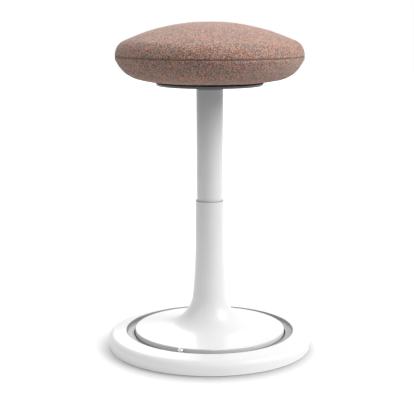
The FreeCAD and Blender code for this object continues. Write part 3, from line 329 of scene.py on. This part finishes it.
def white_shell(colour):
    """The base ring and the dish are satin white. The ring's channel is grey and duller: partly its
    own darker tone, partly painted shade for the recess between ring and dish.
    """
    skin = moulded(
        "white_shell", colour, 0.32, 0.9 * MM, 0.012 * MM, 0.008,
        Coat_Weight=0.05, Coat_Roughness=0.3,
    )
    parts = skin.node("ShaderNodeSeparateXYZ")
    skin.put(parts.inputs[0], skin.place)
    flat = skin.node("ShaderNodeCombineXYZ")
    skin.put(flat.inputs[0], parts.outputs[0])
    skin.put(flat.inputs[1], parts.outputs[1])
    away = skin.vector("LENGTH", flat.outputs[0])
    beyond = skin.math("GREATER_THAN", away, CHANNEL_INNER)
    within = skin.remap(away, CHANNEL_OUTER, CHANNEL_OUTER + CHANNEL_EDGE, 1.0, 0.0)
    low = skin.remap(parts.outputs[2], CHANNEL_TOP, CHANNEL_TOP + CHANNEL_EDGE, 1.0, 0.0)
    channel = skin.math("MULTIPLY", skin.math("MULTIPLY", beyond, within), low)
    base = skin.shader.inputs["Base Color"].links[0].from_socket
    # Paints the channel grey: partly its own tone, partly painted shade for the recess beside the
    # dish.
    skin.set("Base Color", skin.mix(channel, base, CHANNEL_TONE_AND_PAINTED_SHADE))
    return skin.material


def brushed(name, colour, rough, grain, depth, along=(1.0, 1.0, 1.0)):
    """Bare metal: machining marks along one way, patches of gloss."""
    skin = Finish(name, colour, Metallic=1.0)
    marks = skin.noise(skin.stretch(skin.place, along), 1.0 / grain, 4.0, 0.6)
    cloud = skin.noise(skin.place, 30.0, 3.0, 0.6)
    uneven = skin.math("ADD", marks, cloud)
    skin.set("Roughness", skin.remap(uneven, 0.7, 1.3, 0.7 * rough, 1.3 * rough))
    darker = tuple(0.8 * c for c in colour)
    skin.set("Base Color", skin.mix(skin.remap(cloud, 0.3, 0.7), darker, colour))
    skin.set("Normal", skin.bump(marks, depth))
    return skin.material


WEAVE_PITCH = 1.7 * MM
FLECK_RANGE = (0.12, 1.95)
# How light the weave's low places stay: painted shade between the yarns.
WEAVE_GAP_PAINTED_SHADE = 0.62
CORD_RADIUS = 0.7 * MM
GROOVE_END = 1.7 * MM
PANEL = "panel"
SEAM = "seam"

ROSE = (0.616, 0.338, 0.264)
TAN = (0.555, 0.374, 0.253)
TAUPE = (0.435, 0.338, 0.266)
MAUVE = (0.508, 0.351, 0.32)
CORD_COLOUR = (0.30, 0.215, 0.18)
# Painted shade for the seam's groove.
GROOVE_PAINTED_SHADE = (0.17, 0.085, 0.065)


def fabric_hue(cloth, panel):
    """Clouds of colour, where yarns of several dyes cross."""
    broad = cloth.noise(cloth.stretch(panel, (1.0, 1.35, 1.0)), 34.0, 4.0, 0.62, 0.4)
    other = cloth.noise(cloth.stretch(panel, (1.2, 1.0, 1.7)), 47.0, 4.0, 0.65, 0.3)
    hue = cloth.ramp(
        broad,
        [(0.30, TAUPE), (0.42, MAUVE), (0.52, ROSE), (0.62, TAN), (0.74, TAUPE)],
    )
    hue = cloth.mix(cloth.remap(other, 0.42, 0.66), hue, ROSE)
    return cloth.mix(cloth.remap(other, 0.50, 0.30, 0.0, 0.75), hue, TAUPE)


def thread_places(cloth, panel):
    """Place across and along the threads, counted in threads, with a little wander."""
    weave = cloth.vector("MULTIPLY", panel, (1.0 / WEAVE_PITCH,) * 3)
    wander = cloth.remap(cloth.noise(panel, 160.0, 2.0, 0.5), 0.0, 1.0, -0.6, 0.6)
    parts = cloth.node("ShaderNodeSeparateXYZ")
    cloth.put(parts.inputs[0], weave)
    across = cloth.math("ADD", parts.outputs[0], wander)
    along = cloth.math("SUBTRACT", parts.outputs[1], wander)
    return across, along


def weave_height(cloth, across, along):
    """At each crossing of warp and weft one yarn lies on top."""
    wave_u = cloth.math("SINE", cloth.math("MULTIPLY", across, math.pi))
    wave_v = cloth.math("SINE", cloth.math("MULTIPLY", along, math.pi))
    return cloth.math("ABSOLUTE", cloth.math("MULTIPLY", wave_u, wave_v))


def fleck_light(cloth, panel, across, along):
    """Each visible stitch of yarn has its own shade."""
    cell = cloth.node("ShaderNodeCombineXYZ")
    cloth.put(cell.inputs[0], cloth.math("FLOOR", across))
    cloth.put(cell.inputs[1], cloth.math("FLOOR", along))
    shade = cloth.node("ShaderNodeTexWhiteNoise", noise_dimensions="3D")
    cloth.put(shade.inputs["Vector"], cell.outputs[0])
    yarn = cloth.noise(cloth.stretch(panel, (1.0, 4.0, 1.0)), 230.0, 2.0, 0.6)
    fleck = cloth.math("ADD", cloth.math("MULTIPLY", shade.outputs["Value"], 0.7), yarn)
    return cloth.remap(fleck, 0.35, 1.35, *FLECK_RANGE)


def dimmed(cloth, colour, level):
    """The colour times a level."""
    grey = cloth.node("ShaderNodeCombineColor")
    for socket in grey.inputs:
        cloth.put(socket, level)
    return cloth.mix(1.0, colour, grey.outputs[0], "MULTIPLY")


def seam_colour(cloth, panel, seam, colour):
    """The cord, and the groove beside it, painted darker as shade, more where the panels are pulled
    in.
    """
    groove_shade_strength = cloth.remap(cloth.noise(panel, 60.0, 2.0, 0.6), 0.35, 0.65, 0.25, 0.85)
    groove = cloth.remap(seam, CORD_RADIUS, GROOVE_END, 1.0, 0.0, smooth=True)
    # Painted shade: the groove beside the cord is darkened, by an amount that varies along it.
    colour = cloth.mix(cloth.math("MULTIPLY", groove, groove_shade_strength), colour, GROOVE_PAINTED_SHADE)
    cord = cloth.math("LESS_THAN", seam, CORD_RADIUS)
    return cloth.mix(cord, colour, CORD_COLOUR)


def melange_fabric():
    """Woven wool of mixed yarns. The weave follows the flat cut of each panel."""
    cloth = Finish("seat_fabric", ROSE, Roughness=0.9, IOR=1.35)
    cloth.set("Sheen Weight", 0.45)
    cloth.set("Sheen Roughness", 0.5)
    cloth.set("Sheen Tint", (1.0, 0.9, 0.86))
    panel = cloth.node("ShaderNodeAttribute", attribute_name=PANEL).outputs["Vector"]
    seam = cloth.node("ShaderNodeAttribute", attribute_name=SEAM).outputs["Fac"]
    across, along = thread_places(cloth, panel)
    height = weave_height(cloth, across, along)
    colour = dimmed(cloth, fabric_hue(cloth, panel), fleck_light(cloth, panel, across, along))
    # Painted shade: the low places between the yarns are darkened.
    colour = dimmed(cloth, colour, cloth.remap(height, 0.0, 0.5, WEAVE_GAP_PAINTED_SHADE, 1.0))
    cloth.set("Base Color", seam_colour(cloth, panel, seam, colour))
    soft = cloth.bump(cloth.noise(panel, 1400.0, 2.0, 0.7), 0.25 * MM, 0.6)
    cloth.set("Normal", cloth.bump(height, 0.55 * MM, 0.8, soft))
    return cloth.material


def finishes():
    """One material for each of the record's slots."""
    white = (0.86, 0.86, 0.865)
    plate = (0.115, 0.115, 0.12)
    black = (0.03, 0.03, 0.032)
    rubber = (0.025, 0.025, 0.026)
    cream = (0.7, 0.68, 0.62)
    return {
        "white_shell": white_shell(white),
        "white_tube": moulded("white_tube", white, 0.34, 1.4 * MM, 0.03 * MM).material,
        "cap_grey": moulded("cap_grey", (0.42, 0.42, 0.43), 0.4, 0.8 * MM, 0.02 * MM).material,
        "plate_grey": moulded("plate_grey", plate, 0.5, 0.8 * MM, 0.05 * MM).material,
        "pan_black": moulded("pan_black", black, 0.5, 0.7 * MM, 0.05 * MM).material,
        "slide_plastic": moulded("slide_plastic", cream, 0.4, 0.7 * MM, 0.02 * MM).material,
        "rubber_black": moulded("rubber_black", rubber, 0.75, 0.5 * MM, 0.08 * MM).material,
        "foam": moulded("foam", (0.75, 0.70, 0.55), 0.95, 1.2 * MM, 0.6 * MM).material,
        "tube_black": moulded("tube_black", black, 0.3, 1.5 * MM, 0.02 * MM).material,
        "plate_steel": brushed("plate_steel", (0.34, 0.34, 0.35), 0.42, 2.0 * MM, 0.03 * MM),
        "cast_aluminium": brushed("cast_aluminium", (0.62, 0.62, 0.63), 0.5, 1.2 * MM, 0.12 * MM),
        "bright_steel": brushed(
            "bright_steel", (0.66, 0.66, 0.67), 0.16, 0.8 * MM, 0.004 * MM, (1.0, 1.0, 8.0)
        ),
        "screw_steel": brushed("screw_steel", (0.45, 0.45, 0.47), 0.3, 0.8 * MM, 0.02 * MM),
        "ball_chrome": brushed("ball_chrome", (0.72, 0.72, 0.74), 0.06, 2.0 * MM, 0.001 * MM),
        "insert_brass": brushed("insert_brass", (0.66, 0.46, 0.20), 0.32, 0.8 * MM, 0.02 * MM),
        "seat_fabric": melange_fabric(),
    }


def dress_frame(looks):
    """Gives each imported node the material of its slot."""
    for node in nodes.values():
        slot = node.data.materials[0].name.split(".")[0]
        node.data.materials[0] = looks[slot]


# Cushion

SWELL = 3.5 * MM
SIM_GRID = 5.0 * MM
SIM_SEGMENTS = 200
SIM_FRAMES = 20
PRESSURE = 4.0
MOST_SWELL = 8.0 * MM
SEAM_DRAW = 1.8 * MM
FIELD_STEP = 3.0 * MM
SEGMENTS = 640
SHARE_OF_SWELL = 0.8
UNDER_LEAST = -0.5 * MM
UNDER_MOST = 1.2 * MM
CORD_PROUD = 0.7 * MM
GROOVE_WIDTH = 0.5 * MM
GROOVE_DEPTH = 0.6 * MM
LIP_REACH = 2.6 * MM
LIP_HEIGHT = 0.5 * MM
SEAM_CALM = 10.0 * MM
HEM_CALM = 12.0 * MM
TOP_CALM = 25.0 * MM
LUMP_HEIGHT = 0.7 * MM
PAN_ROOM = 6.0 * MM
PANEL_TURN = math.radians(23.0)
FABRIC = 1.3 * MM
PAN_CLEAR = 0.8 * MM
MOVING_CLEAR = 3.5 * MM
MOVING_RADIUS = 110.0 * MM
FOLDS = (
    # turn in degrees, height below the seam, length in degrees, width, depth
    (-152.0, 6.5, 15.0, 3.0, 0.55),
    (-168.0, 11.0, 10.0, 3.5, 0.45),
    (-128.0, 9.0, 9.0, 3.2, 0.30),
    (-61.0, 8.0, 10.0, 3.0, 0.30),
    (-20.0, 10.0, 12.0, 3.6, 0.40),
    (35.0, 7.5, 14.0, 3.2, 0.45),
    (96.0, 9.0, 12.0, 3.4, 0.40),
    (150.0, 8.0, 13.0, 3.2, 0.45),
)


def mesh_points(node):
    points = np.empty(len(node.data.vertices) * 3, np.float32)
    node.data.vertices.foreach_get("co", points)
    return points.reshape(-1, 3).astype(float)


def section_spots(name):
    """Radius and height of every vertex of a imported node."""
    points = mesh_points(nodes[name])
    return np.column_stack([np.hypot(points[:, 0], points[:, 1]), points[:, 2]])


class Section:
    """The cushion's outer half section, taken from the two packed cover panels. A spot on it
    is given by its distance from the section's lower edge."""

    def __init__(self):
        spots = np.vstack([section_spots("cover_bottom"), section_spots("cover_top")])
        self.chain = self.outer_chain(spots)
        steps = np.hypot(*np.diff(self.chain, axis=0).T)
        self.reach = np.concatenate([[0.0], np.cumsum(steps)])
        self.length = self.reach[-1]
        self.seam_height = (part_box("cover_bottom")[1].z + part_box("cover_top")[0].z) / 2
        self.seam = self.reach_at(self.seam_height)

    @staticmethod
    def outer_chain(spots):
        """The hull of the spots from their lowest inner edge, round the outside, to the top."""
        spots = np.unique(np.round(spots, 6), axis=0)
        halves = []
        for run in (spots, spots[::-1]):
            hull = []
            for spot in run:
                while len(hull) > 1:
                    first, second = hull[-1] - hull[-2], spot - hull[-2]
                    if first[0] * second[1] - first[1] * second[0] > 0:
                        break
                    hull.pop()
                hull.append(spot)
            halves.append(hull[:-1])
        hull = np.array(halves[0] + halves[1])
        lowest = hull[:, 1].min()
        start = min(range(len(hull)), key=lambda i: (hull[i, 1] > lowest + 0.02 * MM, hull[i, 0]))
        hull = np.roll(hull, -start, axis=0)
        top = int(np.argmax(hull[:, 1]))
        chain = hull[: top + 1].copy()
        if chain[-1, 0] > 0:
            chain = np.vstack([chain, [0.0, chain[-1, 1]]])
        return chain

    def reach_at(self, height):
        return float(np.interp(height, self.chain[:, 1], self.reach))

    def at(self, reach):
        """Radius and height."""
        return (
            np.interp(reach, self.reach, self.chain[:, 0]),
            np.interp(reach, self.reach, self.chain[:, 1]),
        )

    def outward(self, reach, window=4.0 * MM):
        """Outward normal, as radius and height."""
        low = np.maximum(reach - window, 0.0)
        high = np.minimum(reach + window, self.length)
        (r0, z0), (r1, z1) = self.at(low), self.at(high)
        size = np.hypot(r1 - r0, z1 - z0)
        return (z1 - z0) / size, -(r1 - r0) / size


def lathe(name, spots):
    """A closed mesh from rings of spots, as rings x turns x 3. Its first and last ring are
    poles."""
    rings, turns = spots.shape[:2]
    points = np.vstack([spots[0, :1], spots[1:-1].reshape(-1, 3), spots[-1, :1]])
    ring = np.arange(rings - 2)[:, None] * turns + 1
    turn = np.arange(turns)[None, :]
    after = (turn + 1) % turns
    lower, upper = ring[:-1], ring[1:]
    quads = np.stack([lower + turn, lower + after, upper + after, upper + turn], -1).reshape(-1, 4)
    last = len(points) - 1
    first_fan = [(0, 1 + (i + 1) % turns, 1 + i) for i in range(turns)]
    top_ring = 1 + (rings - 3) * turns
    last_fan = [(last, top_ring + i, top_ring + (i + 1) % turns) for i in range(turns)]
    mesh = bpy.data.meshes.new(name)
    mesh.from_pydata(points.tolist(), [], quads.tolist() + first_fan + last_fan)
    mesh.update()
    return mesh


def around(turns):
    angle = np.arange(turns) * (2 * math.pi / turns)
    return angle, np.cos(angle), np.sin(angle)


def spun(radius, height, turns):
    _, across, along = around(turns)
    flat = np.ones_like(across)
    return np.stack(
        [radius[:, None] * across, radius[:, None] * along, height[:, None] * flat], -1
    )


def ripple(angle, size, seed):
    """Smooth random waves round the cushion, from about -1 to 1."""
    return np.array(
        [
            1.6 * noise.noise(Vector((size * math.cos(a), size * math.sin(a), seed)))
            for a in angle
        ]
    )


def stuffed_body(section):
    """The foam with its cover before it swells, a little smaller than the section."""
    reach = np.linspace(0.0, section.length, 110)
    radius, height = section.at(reach)
    out_r, out_z = section.outward(reach)
    radius = np.maximum(radius - SWELL * out_r, 0.0)
    radius[-1] = 0.0
    height = height - SWELL * out_z
    radius = np.concatenate([[0.0], radius])
    height = np.concatenate([height[:1], height])
    form = lathe("stuffed_body", spun(radius, height, SIM_SEGMENTS))
    body = bpy.data.objects.new("stuffed_body", form)
    scene.collection.objects.link(body)
    remesh = body.modifiers.new("remesh", "REMESH")
    remesh.mode = "VOXEL"
    remesh.voxel_size = SIM_GRID
    ready = body.evaluated_get(bpy.context.evaluated_depsgraph_get())
    mesh = bpy.data.meshes.new_from_object(ready)
    bpy.data.objects.remove(body)
    return mesh


def held_spots(points, section):
    """Which spots lie at the seam, and which at the hem."""
    near = 0.6 * SIM_GRID
    radius = np.hypot(points[:, 0], points[:, 1])
    seam_radius = section.at(section.seam)[0]
    hem_radius, hem_height = section.chain[0]
    at_seam = np.abs(points[:, 2] - section.seam_height) < near
    at_seam &= radius > seam_radius - SWELL - SIM_GRID
    at_hem = points[:, 2] < hem_height + SWELL + near
    at_hem &= radius < hem_radius + 2 * SIM_GRID
    return at_seam, at_hem


def inflate(pad, held):
    """Lets the cover swell under pressure, held at the given vertices."""
    group = pad.vertex_groups.new(name="held")
    group.add(held, 1.0, "REPLACE")
    cloth = pad.modifiers.new("cloth", "CLOTH")
    cloth.settings.vertex_group_mass = "held"
    cloth.settings.quality = 4
    cloth.settings.mass = 0.3
    cloth.settings.tension_stiffness = 20.0
    cloth.settings.compression_stiffness = 20.0
    cloth.settings.shear_stiffness = 8.0
    cloth.settings.bending_stiffness = 1.5
    cloth.settings.use_pressure = True
    cloth.settings.uniform_pressure_force = PRESSURE
    cloth.settings.effector_weights.gravity = 0.0
    cloth.collision_settings.use_collision = False
    for step in range(1, SIM_FRAMES + 1):
        scene.frame_set(step)


def swollen_points(mesh, section):
    """The cover swells, held at the seam and at the hem. The seam draws in unevenly, which
    leaves soft pulls beside it."""
    points = np.empty(len(mesh.vertices) * 3, np.float32)
    mesh.vertices.foreach_get("co", points)
    points = points.reshape(-1, 3).astype(float)
    angle = np.arctan2(points[:, 1], points[:, 0])
    at_seam, at_hem = held_spots(points, section)
    draw = SEAM_DRAW * (0.5 + ripple(angle[at_seam], 8.0, 3.0))
    points[at_seam, 0] -= draw * np.cos(angle[at_seam])
    points[at_seam, 1] -= draw * np.sin(angle[at_seam])
    mesh.vertices.foreach_set("co", points.astype(np.float32).ravel())
    mesh.update()

    pad = bpy.data.objects.new("stuffed_pad", mesh)
    scene.collection.objects.link(pad)
    inflate(pad, np.flatnonzero(at_seam | at_hem).tolist())
    ready = pad.evaluated_get(bpy.context.evaluated_depsgraph_get())
    moved = np.empty(len(points) * 3, np.float32)
    ready.data.vertices.foreach_get("co", moved)
    shift = moved.reshape(-1, 3) - points
    far = np.linalg.norm(shift, axis=1, keepdims=True)
    shift *= np.minimum(1.0, MOST_SWELL / np.maximum(far, 1e-9))
    faces = [tuple(face.vertices) for face in mesh.polygons]
    bpy.data.objects.remove(pad)
    scene.frame_set(1)
    return points + shift, faces


def softened(field, along, across):
    """Evens a field out: across its rows, and along its turns, which close on themselves."""
    for _ in range(along):
        field = 0.25 * np.roll(field, 1, 1) + 0.5 * field + 0.25 * np.roll(field, -1, 1)
    for _ in range(across):
        padded = np.vstack([field[:1], field, field[-1:]])
        field = 0.25 * padded[:-2] + 0.5 * field + 0.25 * padded[2:]
    return field


def swell_field(section):
    """How far the swollen cover stands off the section, on rows along it and turns round it."""
    rows = np.arange(0.0, section.length, FIELD_STEP)
    points, faces = swollen_points(stuffed_body(section), section)
    skin = BVHTree.FromPolygons(points.tolist(), faces)
    radius, height = section.at(rows)
    out_r, out_z = section.outward(rows)
    _, across, along = around(SEGMENTS)
    back = 15.0 * MM
    field = np.zeros((len(rows), SEGMENTS))
    for i in range(len(rows)):
        inner, low = radius[i] - back * out_r[i], height[i] - back * out_z[i]
        for j in range(SEGMENTS):
            start = Vector((inner * across[j], inner * along[j], low))
            way = Vector((out_r[i] * across[j], out_r[i] * along[j], out_z[i]))
            hit = skin.ray_cast(start, way, 4 * back)
            field[i, j] = hit[3] - back if hit[0] else 0.0
    field -= field.mean(axis=1, keepdims=True)
    return rows, softened(field, 12, 4)


def row_values(rows, field, reach):
    """The field's value at other distances along the section."""
    place = np.clip(reach / FIELD_STEP, 0.0, len(rows) - 1.001)
    low = place.astype(int)
    part = (place - low)[:, None]
    return field[low] * (1 - part) + field[low + 1] * part


def cover_reaches(section):
    """Distances along the section: close together at the seam, wider apart elsewhere."""
    fine = np.concatenate(
        [np.arange(0.0, 2.4, 0.2), np.arange(2.4, 6.0, 0.6), np.arange(6.0, 12.0, 1.5)]
    )
    fine = np.concatenate([-fine[:0:-1], fine]) * MM + section.seam
    below = np.linspace(0.0, fine[0] - 1.5 * MM, 38)
    above = np.linspace(fine[-1] + 1.5 * MM, section.length, 66)
    return np.concatenate([below, fine, above])


def seam_relief(off_seam, angle):
    """A cord in a groove, between two panel edges that are pulled in beside it."""
    side = np.abs(off_seam)[:, None]
    cord = CORD_PROUD - CORD_RADIUS + np.sqrt(np.maximum(CORD_RADIUS**2 - side**2, 0.0))
    past = np.maximum(side - CORD_RADIUS, 0.0)
    groove = -GROOVE_DEPTH * np.exp(-((past / GROOVE_WIDTH) ** 2))
    lip = LIP_HEIGHT * (past / LIP_REACH) * np.exp(1 - past / LIP_REACH)
    pulls = 1.0 + 0.35 * ripple(angle, 34.0, 7.0) + 0.25 * ripple(angle, 11.0, 9.0)
    return np.where(side < CORD_RADIUS, cord, groove + lip * pulls[None, :])


def fold_relief(section, reach, angle):
    """Shallow creases under the seam, where the lower panel is gathered."""
    relief = np.zeros((len(reach), len(angle)))
    for turn, below, length, width, depth in FOLDS:
        off_turn = (np.degrees(angle) - turn + 180.0) % 360.0 - 180.0
        sag = below * MM + 1.5 * MM * (off_turn / length) ** 2
        across = (section.seam - reach)[:, None] - sag[None, :]
        crease = -np.exp(-((across / (width * MM)) ** 2))
        swell = 0.6 * np.exp(-(((across - 1.6 * width * MM) / (1.4 * width * MM)) ** 2))
        relief += depth * MM * (crease + swell) * np.exp(-((off_turn / length) ** 2))[None, :]
    return relief


def lump_relief(reach, angle):
    """Unevenness of the foam and its cover."""
    relief = np.zeros((len(reach), len(angle)))
    for i, along in enumerate(reach):
        size = 2.6 * min(1.0, along / (60 * MM) + 0.2)
        for j, turn in enumerate(angle):
            spot = Vector((size * math.cos(turn), size * math.sin(turn), along / (45 * MM)))
            relief[i, j] = noise.noise(spot) + 0.4 * noise.noise(2.7 * spot)
    return relief


def pan_lining(section):
    """The cover's inside: up along the seat pan, over its rim, and across above whatever the
    pan holds."""
    solid = [
        name for name, node in nodes.items()
        if node.parent and node.parent.name in ("body:seat", "body:release")
        and name not in ("seat_foam", "cover_top", "cover_bottom", "cover_tube")
    ]
    rim_radius = section_spots("seat_pan")[:, 0].max()
    rim_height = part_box("seat_pan")[1].z
    step = 1.0 * MM
    top = np.full(int(rim_radius / step) + 3, section.chain[0, 1])
    for name in solid:
        spots = section_spots(name)
        edges = np.empty(len(nodes[name].data.edges) * 2, np.int32)
        nodes[name].data.edges.foreach_get("vertices", edges)
        ends = spots[edges.reshape(-1, 2)]
        for share in np.linspace(0.0, 1.0, 9):
            mid = ends[:, 0] * (1 - share) + ends[:, 1] * share
            place = np.minimum((mid[:, 0] / step).astype(int), len(top) - 1)
            np.maximum.at(top, place, mid[:, 1])
    moving = np.arange(len(top)) * step < MOVING_RADIUS
    top += np.where(moving, MOVING_CLEAR, PAN_CLEAR)
    wide = np.maximum.reduce([np.roll(top, k) for k in (-2, -1, 0, 1, 2)])
    wide[:2] = wide[2]
    inner_radius = np.arange(len(top)) * step
    keep = inner_radius < rim_radius + 0.5 * step
    inner_radius, wide = inner_radius[keep], wide[keep]

    rise = np.arange(0.0, section.reach_at(rim_height + 2.0 * MM), 2.0 * MM)
    radius, height = section.at(rise)
    out_r, out_z = section.outward(rise, 1.5 * MM)
    outer = np.column_stack([radius - FABRIC * out_r, height - FABRIC * out_z])[::-1]
    return np.vstack([np.column_stack([inner_radius, wide]), outer])


def cushion_relief(section, reach, angle):
    """How far the cover stands off its section: swell, lumps, folds and seam."""
    rows, swell = swell_field(section)
    calm = np.clip(np.abs(reach - section.seam) / SEAM_CALM, 0.15, 1.0)[:, None]
    relief = SHARE_OF_SWELL * calm * row_values(rows, swell, reach)
    lumps = np.repeat(lump_relief(reach[::3], angle[::8]), 8, axis=1)
    lumps = softened(lumps, 40, 2)
    lumps = np.array([np.interp(reach, reach[::3], lumps[:, j]) for j in range(SEGMENTS)]).T
    relief += LUMP_HEIGHT * calm * lumps
    relief += fold_relief(section, reach, angle)
    over_pan = (reach < section.reach_at(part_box("seat_pan")[1].z - PAN_ROOM))[:, None]
    relief = np.where(over_pan, np.clip(relief, UNDER_LEAST, UNDER_MOST), relief)
    relief += seam_relief(reach - section.seam, angle)
    relief *= np.clip(reach / HEM_CALM, 0.0, 1.0)[:, None]
    relief *= np.clip((section.length - reach) / TOP_CALM, 0.0, 1.0)[:, None]
    return relief


def panel_places(section, reach, angle, lining):
    """The place on the flat cut of each panel, measured from its middle."""
    upper = reach > section.seam
    cut = np.where(upper, section.length - reach, section.length - 2 * section.seam + reach)
    turned = np.where(upper, 0.0, PANEL_TURN)
    layer = np.where(upper, 0.0, 1.0)
    ways = angle[None, :] + turned[:, None]
    panel = np.stack(
        [
            cut[:, None] * np.cos(ways),
            cut[:, None] * np.sin(ways),
            np.repeat(layer[:, None], SEGMENTS, 1),
        ],
        -1,
    )
    lined = np.zeros((len(lining), SEGMENTS, 3))
    lined[:, :, :2] = spun(lining[:, 0], lining[:, 1], SEGMENTS)[:, :, :2]
    return np.concatenate([lined, panel])


def seam_places(section, reach, lining):
    """The distance from the seam. The lining is far from it."""
    beside = np.concatenate([np.full(len(lining), 1.0), np.abs(reach - section.seam)])
    return np.repeat(beside[:, None], SEGMENTS, 1)[..., None]


def carry(mesh, name, kind, key, values):
    """Gives a lathed mesh a value at each vertex."""
    rings = values[1:-1].reshape(-1, values.shape[2])
    flat = np.concatenate([values[0, :1], rings, values[-1, :1]])
    attribute = mesh.attributes.new(name, kind, "POINT")
    attribute.data.foreach_set(key, flat.astype(np.float32).ravel())


def cushion(fabric):
    """The padded seat: top and bottom panel in one closed form with their seam."""
    section = Section()
    reach = cover_reaches(section)
    angle, across, along = around(SEGMENTS)
    radius, height = section.at(reach)
    out_r, out_z = section.outward(reach)
    relief = cushion_relief(section, reach, angle)
    skin = spun(radius, height, SEGMENTS)
    skin[:, :, 0] += relief * out_r[:, None] * across
    skin[:, :, 1] += relief * out_r[:, None] * along
    skin[:, :, 2] += relief * out_z[:, None]
    lining = pan_lining(section)
    inside = spun(lining[:, 0], lining[:, 1], SEGMENTS)
    mesh = lathe("seat_cushion", np.concatenate([inside, skin]))
    mesh.shade_smooth()
    carry(mesh, PANEL, "FLOAT_VECTOR", "vector", panel_places(section, reach, angle, lining))
    carry(mesh, SEAM, "FLOAT", "value", seam_places(section, reach, lining))
    piece = bpy.data.objects.new("seat_cushion", mesh)
    scene.collection.objects.link(piece)
    mesh.materials.append(fabric)
    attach(piece, "seat")
    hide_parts("cover_top", "cover_bottom", "seat_foam")


looks = finishes()
photo_camera()
sky()
floor()
lamp("key_light", KEY_PLACE, KEY_SIZE, KEY_POWER)
lamp("fill_light", FILL_PLACE, FILL_SIZE, FILL_POWER)
lamp("back_light", BACK_PLACE, BACK_SIZE, BACK_POWER)
scene.view_settings.view_transform = "Standard"
dress_frame(looks)
cushion(looks["seat_fabric"])
